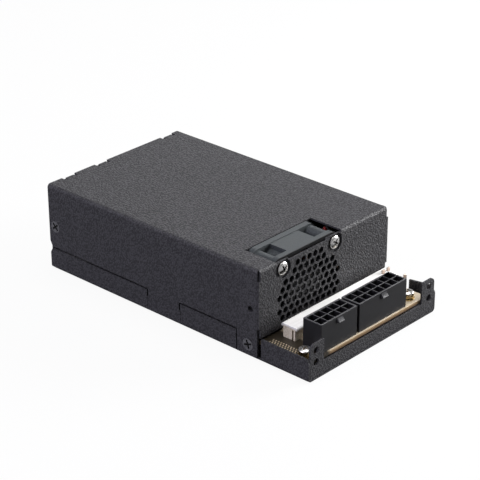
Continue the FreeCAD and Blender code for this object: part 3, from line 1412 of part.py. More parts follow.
# Mains inlet: a collar flush in the rear panel, a flange behind it and a deep socket with three blades
inlet = newBody("Inlet")
collar = oblong(("inletSide - inletCollarWidth / 2", "inletSide + inletCollarWidth / 2"),
                ("inletLift - inletCollarHeight / 2", "inletLift + inletCollarHeight / 2"))
pad(inlet, "InletFlange", "XZ",
    [oblong(("inletSide - inletFlangeWidth / 2", "inletSide + inletFlangeWidth / 2"),
                                        ("inletLift - inletFlangeHeight / 2",
                                         "inletLift + inletFlangeHeight / 2"))],
    f"{rearFace} - inletFlangeThick", rearFace)
rounded(inlet, "FlangeRound", 1, "inletCorner", lambda middle: True)
pad(inlet, "InletCollar", "XZ", [collar], f"{rearFace} - inletFlangeThick", rear)
inletFloor = f"({rear} - inletDepth)"
inletEnd = f"({rear} - inletDepth - inletBack)"


def socketOutline(grow):
    w = f"(inletWidth / 2 + {grow})"
    high = f"(inletLift + inletHeight / 2 + {grow})"
    low = f"(inletLift - inletHeight / 2 - {grow})"
    return [(f"inletSide - {w}", low), (f"inletSide + {w}", low),
            (f"inletSide + {w}", f"{high} - inletChamfer"),
            (f"inletSide + {w} - inletChamfer", high), (f"inletSide - {w} + inletChamfer", high),
            (f"inletSide - {w}", f"{high} - inletChamfer")]


pad(inlet, "InletCup", "XZ", [socketOutline("inletWall")], inletEnd, f"{rearFace} - inletFlangeThick / 2")
pocket(inlet, "InletSocket", "XZ", [socketOutline("0")], inletFloor, f"{rear} + cutPast")
pocket(inlet, "InletScrewHoles", "XZ",
       [(side, "inletLift", "inletScrewRadius") for side in inletScrewSpots],
       f"{rearFace} - inletFlangeThick - cutPast", f"{rearFace} + cutPast")
bladeSpots = [("inletSide - inletPinSpread", "inletLift - inletPinDrop"),
              ("inletSide + inletPinSpread", "inletLift - inletPinDrop"),
              ("inletSide", "inletLift + inletPinDrop")]


def bladeOutline(side, lift):
    return oblong((f"{side} - inletPinWidth / 2", f"{side} + inletPinWidth / 2"),
                  (f"{lift} - inletPinHeight / 2", f"{lift} + inletPinHeight / 2"))


pocket(inlet, "BladeSlots", "XZ", [bladeOutline(*spot) for spot in bladeSpots], f"{inletEnd} - cutPast",
       f"{inletFloor} + cutPast")
node("inlet_housing", inlet)
inletPins = newBody("InletPins")
pad(inletPins, "InletBlades", "XZ", [bladeOutline(*spot) for spot in bladeSpots],
    f"{inletEnd} - inletTabLength", f"{rear} - inletPinRecess")
node("inlet_pins", inletPins)
inletScrews = [flatScrew(f"InletScrew{order}", [side, rear, "inletLift"], "-y", "inletScrewHead",
                         "inletScrewRadius",
                         "sheetThick + inletFlangeThick") for order, side in enumerate(inletScrewSpots)]
node("inlet_screws", grouped("InletScrews", inletScrews))

# Earth lug on the rear panel with its screw
lugFace = f"({rearFace} - lugThick)"
lug = newBody("Lug")
pad(lug, "LugPlate", "XZ",
    [oblong(("lugSide - lugWidth / 2", "lugSide + lugWidth / 2"),
            ("lugLift - lugHeight / 2", "lugLift + lugHeight / 2"))],
    lugFace, rearFace)
pocket(lug, "LugBore", "XZ", [("lugSide", "lugLift", "sideScrewRadius + screwGap")],
       f"{lugFace} - cutPast", f"{rearFace} + cutPast")
node("earth_lug", lug)
node("earth_screw",
     panScrew("EarthScrew", ["lugSide", lugFace, "lugLift"], "y", "lugScrewHead", "lugScrewHeight",
                             "sideScrewRadius", "lugThick + sheetThick"))

# Mains wires from the inlet's tabs to the main board and to the earth lug
boardTopNumber = number("boardLift") + number("boardThick")
tabEnd = halfLength - number("inletDepth") - number("inletBack") - number("inletTabLength")
inletX = number("inletSide")
spread = number("inletPinSpread")
pinLow = number("inletLift") - number("inletPinDrop")
pinHigh = number("inletLift") + number("inletPinDrop")
wireStart = tabEnd - number("wireOut")
wireBack = wireStart - number("wireTurn")
lineWires = {"live_wire": inletX + spread, "neutral_wire": inletX - spread}
for label, side in lineWires.items():
    node(label, wire(label.title().replace("_", ""), [
        (side, tabEnd, pinLow),
        (side, wireStart, pinLow),
        (side, wireBack, pinLow - number("wireTurn")),
        (side, wireBack, boardTopNumber),
    ], number("wireRadius")))
lugEnd = halfLength - gauge - number("lugThick")
lugX = number("lugSide") + number("lugWidth") / 2 - number("lugWireSet")
lugZ = number("lugLift")
node("earth_wire", wire("EarthWire", [
    (inletX, tabEnd, pinHigh),
    (inletX, wireStart, pinHigh),
    (inletX, wireBack, pinHigh + number("wireTurn")),
    (inletX, wireBack, lugZ - number("earthDrop")),
    (inletX - number("earthLean"), tabEnd, lugZ),
    (lugX, lugEnd - number("earthLanding"), lugZ),
    (lugX, lugEnd, lugZ),
], number("earthRadius")))

# Fan plug on the main board, and the pair of leads that loop up beside the fan
plugFace = f"({mainFront} + plugSet)"
plug = newBody("FanPlug")
pad(plug, "FanPlugBlock", "XY",
    [oblong(("plugSide", "plugSide + plugWidth"), (plugFace, f"{plugFace} + plugDepth"))],
    boardTop, f"{boardTop} + plugHeight")
node("fan_plug", plug)
fanEdge = number("fanSide") + number("fanSize") / 2
fanBack = panelPlace + gauge + number("dimpleDepth") + number("fanDepth")
plugTop = boardTopNumber + number("plugHeight")
plugStart = fanBack + number("armReach") + number("boardGap") + number("plugSet")
plugMiddle = plugStart + number("plugDepth") / 2
leadStart = fanBack - number("fanDepth") / 2
leadTop = topHeight - number("leadTopGap")
shoulder = topHeight - number("leadShoulder")
for label, step in (("fan_lead_red", 0), ("fan_lead_black", 1)):
    shift = step * number("leadPitch")
    lift = number("leadPitch") - shift
    outer = fanEdge + shift + number("leadOut")
    inner = fanEdge + shift + number("leadIn")
    foot = topHeight / 2 - number("leadDrop") - 2 * shift
    plugX = number("plugSide") + number("plugWidth") / 2 - number("leadPitch") + 2 * shift
    node(label, wire(label.title().replace("_", ""), [
        (fanEdge, leadStart, foot),
        (outer, leadStart, foot),
        (outer, leadStart, topHeight / 2 + number("leadLean")),
        (inner, leadStart, shoulder),
        (inner, leadStart, leadTop),
        (inner, leadStart + number("leadCrown"), leadTop),
        (inner, leadStart + 2 * number("leadCrown"), shoulder),
        (inner - number("leadOut"), plugMiddle, plugTop + number("leadBend") + lift),
        (plugX, plugMiddle, plugTop + number("leadEntry") + lift),
        (plugX, plugMiddle, plugTop),
    ], number("leadRadius")))

doc.recompute()
faults = []
for item in doc.Objects:
    if "Invalid" in item.State or "Error" in item.State:
        faults.append(f"{item.Name} is {item.State}")
    if item.TypeId == "PartDesign::Pocket" and item.Shape.Volume >= item.BaseFeature.Shape.Volume - 1e-6:
        faults.append(f"{item.Name} cuts nothing")
for label, item in nodes.items():
    if item.Shape.isNull() or not item.Shape.isValid() or not item.Shape.Solids:
        faults.append(f"{label} has no valid solid")
if faults:
    raise RuntimeError("; ".join(faults))
os.makedirs("parts", exist_ok=True)
for label, item in nodes.items():
    item.Shape.exportStep(f"parts/{label}.step")
print(len(nodes), "sub-parts")
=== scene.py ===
import json
import math

import bmesh
import bpy
from mathutils import Matrix, Vector


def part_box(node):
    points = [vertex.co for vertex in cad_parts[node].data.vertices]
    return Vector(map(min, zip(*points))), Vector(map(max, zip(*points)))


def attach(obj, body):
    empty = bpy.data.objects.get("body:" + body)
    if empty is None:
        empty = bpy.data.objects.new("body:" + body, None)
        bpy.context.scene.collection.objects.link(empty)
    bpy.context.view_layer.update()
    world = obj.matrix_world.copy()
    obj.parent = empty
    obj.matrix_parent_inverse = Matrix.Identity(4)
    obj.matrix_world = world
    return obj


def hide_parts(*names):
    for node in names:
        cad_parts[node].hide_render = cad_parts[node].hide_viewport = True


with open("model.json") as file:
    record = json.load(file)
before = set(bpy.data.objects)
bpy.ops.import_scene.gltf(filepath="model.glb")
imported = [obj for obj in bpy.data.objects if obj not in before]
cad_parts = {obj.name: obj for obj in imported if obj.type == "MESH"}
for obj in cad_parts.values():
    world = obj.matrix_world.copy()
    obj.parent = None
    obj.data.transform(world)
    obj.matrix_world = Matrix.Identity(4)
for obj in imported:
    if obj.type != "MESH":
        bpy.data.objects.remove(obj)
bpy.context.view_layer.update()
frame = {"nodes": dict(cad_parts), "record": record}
mm = 0.001
perMetre = 1000.0  # millimetres in a metre
mergeReach = 0.002 * mm  # points of a copied mesh nearer than this become one
sharpAngle = math.radians(38)  # edges that turn by more are sharp
white = (1, 1, 1, 1)
slots = {entry["node"]: entry["material_slot"] for entry in frame["record"]["subparts"]}
bodyOf = {node: body for body, nodes in frame["record"]["behaviour"]["bodies"].items() for node in nodes}
print("frame loaded:", len(frame["nodes"]), "nodes")


# add a node, set its properties, then fill or link its inputs; a list links every item to one socket
def addNode(tree, kind, inputs=None, **settings):
    node = tree.nodes.new(kind)
    for name, value in settings.items():
        setattr(node, name, value)
    for socket, value in (inputs or {}).items():
        for source in value if isinstance(value, list) else [value]:
            if isinstance(source, bpy.types.NodeSocket):
                tree.links.new(source, node.inputs[socket])
            else:
                node.inputs[socket].default_value = source
    return node


def newGroup(name, kind, inputs, outputs):
    tree = bpy.data.node_groups.new(name, kind)
    for label, socketType, value in inputs:
        socket = tree.interface.new_socket(name=label, in_out="INPUT", socket_type=f"NodeSocket{socketType}")
        if value is not None:
            socket.default_value = value
    for label, socketType in outputs:
        tree.interface.new_socket(name=label, in_out="OUTPUT", socket_type=f"NodeSocket{socketType}")
    return tree, tree.nodes.new("NodeGroupInput").outputs, tree.nodes.new("NodeGroupOutput").inputs


def mathNode(tree, operation, a, b=0.0):
    return addNode(tree, "ShaderNodeMath", {0: a, 1: b}, operation=operation).outputs[0]


def spread(tree, value, low, high, toLow=0.0, toHigh=1.0):
    node = addNode(tree, "ShaderNodeMapRange", {"Value": value, "From Min": low, "From Max": high,
                                                "To Min": toLow, "To Max": toHigh})
    return node.outputs["Result"]


def blendColour(tree, factor, dark, light):
    inputs = {"Factor": factor}
    for socket, colour in (("A", dark), ("B", light)):
        inputs[socket] = colour if isinstance(colour, bpy.types.NodeSocket) else (*colour, 1)
    return addNode(tree, "ShaderNodeMix", inputs, data_type="RGBA").outputs["Result"]


# coordinates counted in the group's Size, which is in millimetres
def inSizes(tree, given, unit=perMetre):
    inputs = {0: given["Vector"], "Scale": mathNode(tree, "DIVIDE", unit, given["Size"])}
    return addNode(tree, "ShaderNodeVectorMath", inputs, operation="SCALE").outputs["Vector"]


def noiseOver(tree, vector, look):
    inputs = {"Vector": vector, "Scale": look["scale"], "Detail": look["detail"],
              "Roughness": look["roughness"]}
    return addNode(tree, "ShaderNodeTexNoise", inputs).outputs["Fac"]


# shared shader effects: each takes Object coordinates and a size in millimetres, and what lies between low
# and high makes up its mask
effectLook = {
    "grain": {"scale": 1.0, "detail": 0.5, "roughness": 0.5, "middle": 0.5},
    "smudge": {"scale": 1.0, "detail": 4.0, "roughness": 0.55, "low": 0.32, "high": 0.68},
    "brushing": {"scale": 1.0, "detail": 5.0, "roughness": 0.7, "low": 0.35, "high": 0.65},
    "weave": {"scale": 0.35, "detail": 3.0, "roughness": 0.5, "low": 0.1, "high": 0.6, "threads": 0.5,
              "noiseShare": 0.6},
}


def makeGrain(look):
    inputs = [("Vector", "Vector", None), ("Size", "Float", 1.0), ("Contrast", "Float", 0.1)]
    outputs = [("Mask", "Float"), ("Height", "Float")]
    tree, given, out = newGroup("coatGrain", "ShaderNodeTree", inputs, outputs)
    height = noiseOver(tree, inSizes(tree, given), look)
    low = mathNode(tree, "SUBTRACT", look["middle"], given["Contrast"])
    high = mathNode(tree, "ADD", look["middle"], given["Contrast"])
    tree.links.new(spread(tree, height, low, high), out["Mask"])
    tree.links.new(height, out["Height"])
    return tree


def makeSmudge(look):
    inputs = [("Vector", "Vector", None), ("Size", "Float", 20.0)]
    tree, given, out = newGroup("handlingSmudge", "ShaderNodeTree", inputs, [("Mask", "Float")])
    cloud = noiseOver(tree, inSizes(tree, given), look)
    tree.links.new(spread(tree, cloud, look["low"], look["high"]), out["Mask"])
    return tree


# fine lines along one axis: Stretch scales the coordinates before the noise
def makeBrushing(look):
    inputs = [("Vector", "Vector", None), ("Size", "Float", 0.5), ("Stretch", "Vector", (1, 1, 0.05))]
    outputs = [("Mask", "Float"), ("Height", "Float")]
    tree, given, out = newGroup("brushLines", "ShaderNodeTree", inputs, outputs)
    drawn = addNode(tree, "ShaderNodeVectorMath", {0: inSizes(tree, given), 1: given["Stretch"]},
                    operation="MULTIPLY")
    lines = noiseOver(tree, drawn.outputs["Vector"], look)
    tree.links.new(spread(tree, lines, look["low"], look["high"]), out["Mask"])
    tree.links.new(lines, out["Height"])
    return tree


# crossing threads of a glass laminate, one wave to a Size
def makeWeave(look):
    inputs = [("Vector", "Vector", None), ("Size", "Float", 0.8)]
    outputs = [("Mask", "Float"), ("Height", "Float")]
    tree, given, out = newGroup("laminateWeave", "ShaderNodeTree", inputs, outputs)
    scaled = inSizes(tree, given, 2 * math.pi * perMetre)
    parts = addNode(tree, "ShaderNodeSeparateXYZ", {0: scaled}).outputs
    warp = mathNode(tree, "SINE", parts["X"])
    weft = mathNode(tree, "SINE", parts["Y"])
    crossed = mathNode(tree, "MULTIPLY", mathNode(tree, "MULTIPLY", warp, weft), look["threads"])
    inputs = {"Factor": look["noiseShare"], "A": crossed, "B": noiseOver(tree, scaled, look)}
    mixed = addNode(tree, "ShaderNodeMix", inputs).outputs["Result"]
    tree.links.new(spread(tree, mixed, look["low"], look["high"]), out["Mask"])
    tree.links.new(mixed, out["Height"])
    return tree


grainGroup = makeGrain(effectLook["grain"])
smudgeGroup = makeSmudge(effectLook["smudge"])
brushGroup = makeBrushing(effectLook["brushing"])
weaveGroup = makeWeave(effectLook["weave"])
print("shared effects:", len(effectLook))

# what a finish has where its own dictionary gives nothing else, sizes in millimetres
plainFinish = {"effect": grainGroup, "size": 0.6, "smudge": 18.0, "cloud": 0.35, "bump": 0.2, "depth": 0.1,
               "metal": 0.0, "shine": 0.5, "coat": 0.0}


def startMaterial(name):
    material = bpy.data.materials.new(name)
    material.use_nodes = True
    tree = material.node_tree
    tree.nodes.clear()
    return material, tree, addNode(tree, "ShaderNodeTexCoord").outputs["Object"]


# the finish's own effect, with some of the broad smudges mixed into its mask
def placeEffect(tree, place, look):
    effect = addNode(tree, "ShaderNodeGroup", node_tree=look["effect"])
    tree.links.new(place, effect.inputs["Vector"])
    effect.inputs["Size"].default_value = look["size"]
    for socket, setting in (("Stretch", "stretch"), ("Contrast", "contrast")):
        if setting in look:
            effect.inputs[socket].default_value = look[setting]
    smudge = addNode(tree, "ShaderNodeGroup", node_tree=smudgeGroup)
    tree.links.new(place, smudge.inputs["Vector"])
    smudge.inputs["Size"].default_value = look["smudge"]
    mixed = addNode(tree, "ShaderNodeMix", {"Factor": look["cloud"], "A": effect.outputs["Mask"],
                                            "B": smudge.outputs["Mask"]})
    return effect, mixed.outputs["Result"]


def closeMaterial(tree, look, effect, mask, colour):
    rough = spread(tree, mask, 0.0, 1.0, *look["rough"])
    bump = addNode(tree, "ShaderNodeBump", {"Height": effect.outputs["Height"], "Strength": look["bump"],
                                            "Distance": look["depth"] * mm}).outputs["Normal"]
    inputs = {"Base Color": colour, "Roughness": rough, "Normal": bump}
    shader = addNode(tree, "ShaderNodeBsdfPrincipled", inputs)
    shader.inputs["Metallic"].default_value = look["metal"]
    shader.inputs["Specular IOR Level"].default_value = look["shine"]
    shader.inputs["Coat Weight"].default_value = look["coat"]
    addNode(tree, "ShaderNodeOutputMaterial", {"Surface": shader.outputs["BSDF"]})


# a finish whose colour runs from dark to light over one of the shared effects
def surface(name, look):
    look = plainFinish | look
    material, tree, place = startMaterial(name)
    effect, mask = placeEffect(tree, place, look)
    closeMaterial(tree, look, effect, mask, blendColour(tree, mask, look["dark"], look["light"]))
    return material


# a finish with zones: each turns into its own colours along an axis, between two places in millimetres; here
# the zones are painted shade and painted highlights
def zonedSurface(name, look):
    look = plainFinish | look
    material, tree, place = startMaterial(name)
    effect, mask = placeEffect(tree, place, look)
    parts = addNode(tree, "ShaderNodeSeparateXYZ", {0: place}).outputs
    colour = blendColour(tree, mask, look["dark"], look["light"])
    for zone in look["zones"]:
        along = parts[zone["axis"]]
        if zone.get("bothSides"):
            along = mathNode(tree, "ABSOLUTE", along)
        share = spread(tree, along, zone["from"] * mm, zone["to"] * mm)
        colour = blendColour(tree, share, colour, blendColour(tree, mask, zone["dark"], zone["light"]))
    closeMaterial(tree, look, effect, mask, colour)
    return material


# bare laminate: pale top, browner sawn edge with painted shade towards its bottom, and a dark left strip
# that is partly solder mask, partly painted shade
def boardSurface(name, look, box):
    look = plainFinish | look
    material, tree, place = startMaterial(name)
    effect, mask = placeEffect(tree, place, look)
    parts = addNode(tree, "ShaderNodeSeparateXYZ", {0: place}).outputs
    top = blendColour(tree, mask, look["dark"], look["light"])
    # the strip covers top and edge: solder mask, widened and darkened as painted shade from the cap, the
    # panel and the ear
    stripEnd = box[0].x + look["stripWidth"] * mm
    inStrip = spread(tree, parts["X"], stripEnd, stripEnd + look["stripFade"] * mm, 1.0, 0.0)
    strip = blendColour(tree, mask, look["stripDark"], look["stripLight"])
    # the sawn edge is painted darker towards its bottom: painted shade of the gap above the tray wall
    edgeShadeFade = spread(tree, parts["Z"], box[0].z, box[1].z)
    edge = blendColour(tree, edgeShadeFade, look["edgeShadedBottom"], look["edgeLight"])
    onTop = spread(tree, parts["Z"], *(box[1].z - depth * mm for depth in look["topFade"]))
    bare = blendColour(tree, onTop, edge, top)
    closeMaterial(tree, look, effect, mask, blendColour(tree, inStrip, bare, strip))
    return material


# the photograph's view: a long lens from the front left, above the case
cameraLook = {"azimuth": -47.22, "elevation": 26.18, "roll": -0.27, "focal": 1815.62, "pixels": 480,
              "place": (-0.51064, -0.47352, 0.36570), "sensor": 36, "near": 0.01, "far": 20}


def makeCamera(look):
    azimuth, elevation, roll = (math.radians(look[name]) for name in ("azimuth", "elevation", "roll"))
    back = Vector((math.sin(azimuth) * math.cos(elevation), -math.cos(azimuth) * math.cos(elevation),
                   math.sin(elevation)))
    right = Vector((math.cos(azimuth), math.sin(azimuth), 0))
    up = back.cross(right)
    across = right * math.cos(roll) + up * math.sin(roll)
    upright = up * math.cos(roll) - right * math.sin(roll)
    data = bpy.data.cameras.new("photoCamera")
    data.sensor_width = look["sensor"]
    data.lens = look["focal"] * data.sensor_width / look["pixels"]
    data.clip_start = look["near"]
    data.clip_end = look["far"]
    camera = bpy.data.objects.new("photoCamera", data)
    turn = Matrix((across, upright, back)).transposed().to_4x4()
    camera.matrix_world = Matrix.Translation(look["place"]) @ turn
    bpy.context.collection.objects.link(camera)
    bpy.context.scene.camera = camera


makeCamera(cameraLook)
bpy.context.scene.view_settings.view_transform = "Standard"

# studio: a white floor that keeps the shadow, a key from the right front, a broad light from above, a small
# one behind for the edges and a cool fill from the left; in metres and watts
studioLook = {
    "floorSize": 6.0, "floorDrop": 0.0003, "floorGlow": 0.8, "floorPaper": 0.26, "floorWhite": 1.155,
    "ambient": 0.035, "mirrored": 0.25, "aim": (0, 0, 0.02),
    "lights": {"keyLight": {"place": (0.52, -0.3, 0.22), "size": 0.34, "power": 7.0},
               "topLight": {"place": (0.1, -0.1, 1.7), "size": 1.1, "power": 20.0},
               "rearLight": {"place": (1.1, 1.05, 0.8), "size": 0.4, "power": 3.4},
               "leftFill": {"place": (-1.5, 0.3, 0.8), "size": 1.6, "power": 25.0,
                            "tint": (0.86, 0.84, 1.0)}},
}


# white where the camera looks straight at it or through a gap, part of that in mirror images
def whiteForCamera(tree, mirrored):
    path = addNode(tree, "ShaderNodeLightPath").outputs
    seen = mathNode(tree, "MAXIMUM", path["Is Camera Ray"], path["Is Transmission Ray"])
    return mathNode(tree, "MAXIMUM", seen, mathNode(tree, "MULTIPLY", path["Is Glossy Ray"], mirrored))


def makeStudio(look):
    world = bpy.data.worlds.new("studioWorld")
    bpy.context.scene.world = world
    world.use_nodes = True
    tree = world.node_tree
    tree.nodes.clear()
    level = spread(tree, whiteForCamera(tree, look["mirrored"]), 0.0, 1.0, look["ambient"], 1.0)
    sky = addNode(tree, "ShaderNodeBackground", {"Color": white, "Strength": level})
    addNode(tree, "ShaderNodeOutputWorld", {"Surface": sky.outputs["Background"]})

    reach = look["floorSize"] / 2
    low = -look["floorDrop"]
    mesh = bpy.data.meshes.new("studioFloor")
    corners = [(-reach, -reach, low), (reach, -reach, low), (reach, reach, low), (-reach, reach, low)]
    mesh.from_pydata(corners, [], [(0, 1, 2, 3)])
    floor = bpy.data.objects.new("studioFloor", mesh)
    bpy.context.collection.objects.link(floor)
    material = bpy.data.materials.new("floorPaper")
    material.use_nodes = True
    tree = material.node_tree
    tree.nodes.clear()
    paper = addNode(tree, "ShaderNodeBsdfDiffuse", {"Color": (*[look["floorPaper"]] * 3, 1)})
    glow = addNode(tree, "ShaderNodeEmission", {"Color": white, "Strength": look["floorWhite"]})
    share = mathNode(tree, "MULTIPLY", whiteForCamera(tree, 0.0), look["floorGlow"])
    both = addNode(tree, "ShaderNodeMixShader", {0: share, 1: paper.outputs[0], 2: glow.outputs[0]})
    addNode(tree, "ShaderNodeOutputMaterial", {"Surface": both.outputs[0]})
    mesh.materials.append(material)
    aim = Vector(look["aim"])
    for name, light in look["lights"].items():
        lamp = bpy.data.lights.new(name, "AREA")
        lamp.size = light["size"]
        lamp.energy = light["power"]
        lamp.color = light.get("tint", white[:3])
        lampObject = bpy.data.objects.new(name, lamp)
        turn = (aim - Vector(light["place"])).to_track_quat("-Z", "Y").to_matrix().to_4x4()
        lampObject.matrix_world = Matrix.Translation(light["place"]) @ turn
        bpy.context.collection.objects.link(lampObject)


makeStudio(studioLook)
print("camera and studio set")

# finishes of the CAD nodes, by the record's slot names; slots whose nodes all have shades below have none
finishes = {
    "case_black": {"dark": (0.0205, 0.0198, 0.0225), "light": (0.0435, 0.0427, 0.0475),
                   "rough": (0.66, 0.5), "size": 0.72, "contrast": 0.08, "bump": 1.0, "depth": 0.36,
                   "cloud": 0.05, "smudge": 40, "shine": 0.34},
    "black_steel": {"dark": (0.02, 0.02, 0.02), "light": (0.05, 0.05, 0.05), "rough": (0.3, 0.45),
                    "size": 0.5},
    "zinc_steel": {"dark": (0.55, 0.54, 0.52), "light": (0.82, 0.81, 0.79), "rough": (0.16, 0.32),
                   "metal": 1.0, "effect": brushGroup, "size": 0.4, "stretch": (1, 1, 0.2), "bump": 0.05},
    "bush_bronze": {"dark": (0.4, 0.24, 0.1), "light": (0.62, 0.42, 0.22), "rough": (0.3, 0.5),
                    "metal": 1.0, "size": 0.3},
    "shaft_steel": {"dark": (0.6, 0.6, 0.61), "light": (0.8, 0.8, 0.81), "rough": (0.12, 0.25),
                    "metal": 1.0, "effect": brushGroup, "size": 0.2, "stretch": (0.05, 1, 0.05),
                    "bump": 0.05},
    "green_board": {"dark": (0.02, 0.11, 0.04), "light": (0.05, 0.22, 0.09), "rough": (0.25, 0.4),
                    "effect": weaveGroup},
    "lamination": {"dark": (0.2, 0.2, 0.21), "light": (0.42, 0.42, 0.43), "rough": (0.35, 0.55),
                   "metal": 1.0, "effect": brushGroup, "size": 0.5, "stretch": (0.05, 1, 0.05)},
    "copper_wire": {"dark": (0.36, 0.12, 0.04), "light": (0.68, 0.3, 0.12), "rough": (0.2, 0.34),
                    "metal": 0.85, "effect": brushGroup, "size": 0.6, "stretch": (1, 1, 0.1),
                    "bump": 0.1},
    "ferrite": {"dark": (0.025, 0.025, 0.027), "light": (0.07, 0.07, 0.074), "rough": (0.45, 0.62),
                "size": 0.5},
    "tan_board": {"dark": (0.46, 0.36, 0.24), "light": (0.76, 0.68, 0.54), "rough": (0.32, 0.5),
                  "effect": weaveGroup, "size": 0.9, "bump": 0.1, "stripWidth": 11.5, "stripFade": 2.5,
                  # the strip's colours are solder mask darkened into painted shade; the edge's low colour is
                  # painted shade
                  "stripDark": (0.011, 0.008, 0.0045), "stripLight": (0.042, 0.032, 0.019),
                  "edgeShadedBottom": (0.06, 0.028, 0.012), "edgeLight": (0.4, 0.27, 0.14),
                  "topFade": (0.06, 0.02)},
    "tinned_pin": {"dark": (0.55, 0.52, 0.45), "light": (0.8, 0.78, 0.72), "rough": (0.18, 0.32),
                   "metal": 1.0, "effect": brushGroup, "size": 0.3, "stretch": (1, 1, 0.1), "bump": 0.05},
    "brass_post": {"dark": (0.55, 0.38, 0.14), "light": (0.82, 0.62, 0.3), "rough": (0.2, 0.35),
                   "metal": 1.0, "effect": brushGroup, "size": 0.4, "stretch": (1, 1, 0.05),
                   "bump": 0.05},
    "white_plastic": {"dark": (0.75, 0.74, 0.71), "light": (0.92, 0.91, 0.89), "rough": (0.36, 0.5),
                      "effect": brushGroup, "size": 1.6, "stretch": (0.06, 1, 1), "bump": 0.06},
    "beige_plastic": {"dark": (0.55, 0.48, 0.36), "light": (0.78, 0.72, 0.6), "rough": (0.4, 0.55),
                      "size": 0.7},
    "bus_metal": {"dark": (0.4, 0.3, 0.24), "light": (0.68, 0.56, 0.48), "rough": (0.34, 0.52),
                  "metal": 0.7, "effect": brushGroup, "size": 0.5, "stretch": (1, 1, 0.1)},
    "clear_sheet": {"dark": (0.42, 0.38, 0.3), "light": (0.6, 0.56, 0.46), "rough": (0.2, 0.35),
                    "size": 2.0},
    "black_sleeve": {"dark": (0.012, 0.012, 0.016), "light": (0.03, 0.03, 0.036), "rough": (0.16, 0.28),
                     "size": 1.2, "coat": 0.3},
    "yellow_tape": {"dark": (0.6, 0.42, 0.05), "light": (0.84, 0.66, 0.16), "rough": (0.3, 0.45),
                    "effect": brushGroup, "size": 1.2, "stretch": (0.1, 0.1, 1), "bump": 0.25},
    "sink_aluminium": {"dark": (0.5, 0.51, 0.52), "light": (0.74, 0.75, 0.76), "rough": (0.25, 0.42),
                       "metal": 1.0, "effect": brushGroup, "size": 0.5, "stretch": (1, 1, 0.03)},
    "package_epoxy": {"dark": (0.014, 0.014, 0.014), "light": (0.036, 0.036, 0.036), "rough": (0.5, 0.66),
                      "size": 0.4},
    "film_yellow": {"dark": (0.62, 0.45, 0.06), "light": (0.84, 0.68, 0.18), "rough": (0.34, 0.48),
                    "size": 0.8},
    "disc_blue": {"dark": (0.04, 0.12, 0.34), "light": (0.12, 0.26, 0.58), "rough": (0.22, 0.36),
                  "size": 1.0, "coat": 0.2},
    "fuse_ceramic": {"dark": (0.6, 0.58, 0.52), "light": (0.82, 0.8, 0.75), "rough": (0.2, 0.34),
                     "size": 1.0},
    "inlet_plastic": {"dark": (0.012, 0.012, 0.012), "light": (0.034, 0.034, 0.034), "rough": (0.4, 0.55),
                      "size": 0.7, "bump": 0.15},
    "wire_brown": {"dark": (0.09, 0.035, 0.012), "light": (0.18, 0.08, 0.03), "rough": (0.3, 0.42),
                   "size": 1.0},
    "wire_blue": {"dark": (0.02, 0.06, 0.28), "light": (0.06, 0.13, 0.46), "rough": (0.3, 0.42),
                  "size": 1.0},
    "wire_green": {"dark": (0.06, 0.2, 0.03), "light": (0.3, 0.36, 0.05), "rough": (0.3, 0.42),
                   "size": 1.6},
    "lead_red": {"dark": (0.22, 0.006, 0.005), "light": (0.36, 0.016, 0.012), "rough": (0.3, 0.42),
                 "size": 0.8},
    "lead_black": {"dark": (0.01, 0.01, 0.01), "light": (0.03, 0.03, 0.03), "rough": (0.3, 0.42),
                   "size": 0.8},
}
materials = {slot: surface(slot, look) for slot, look in finishes.items() if slot != "tan_board"}
boardBox = [Vector(corner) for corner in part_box("output_board")]
materials["tan_board"] = boardSurface("tan_board", finishes["tan_board"], boardBox)

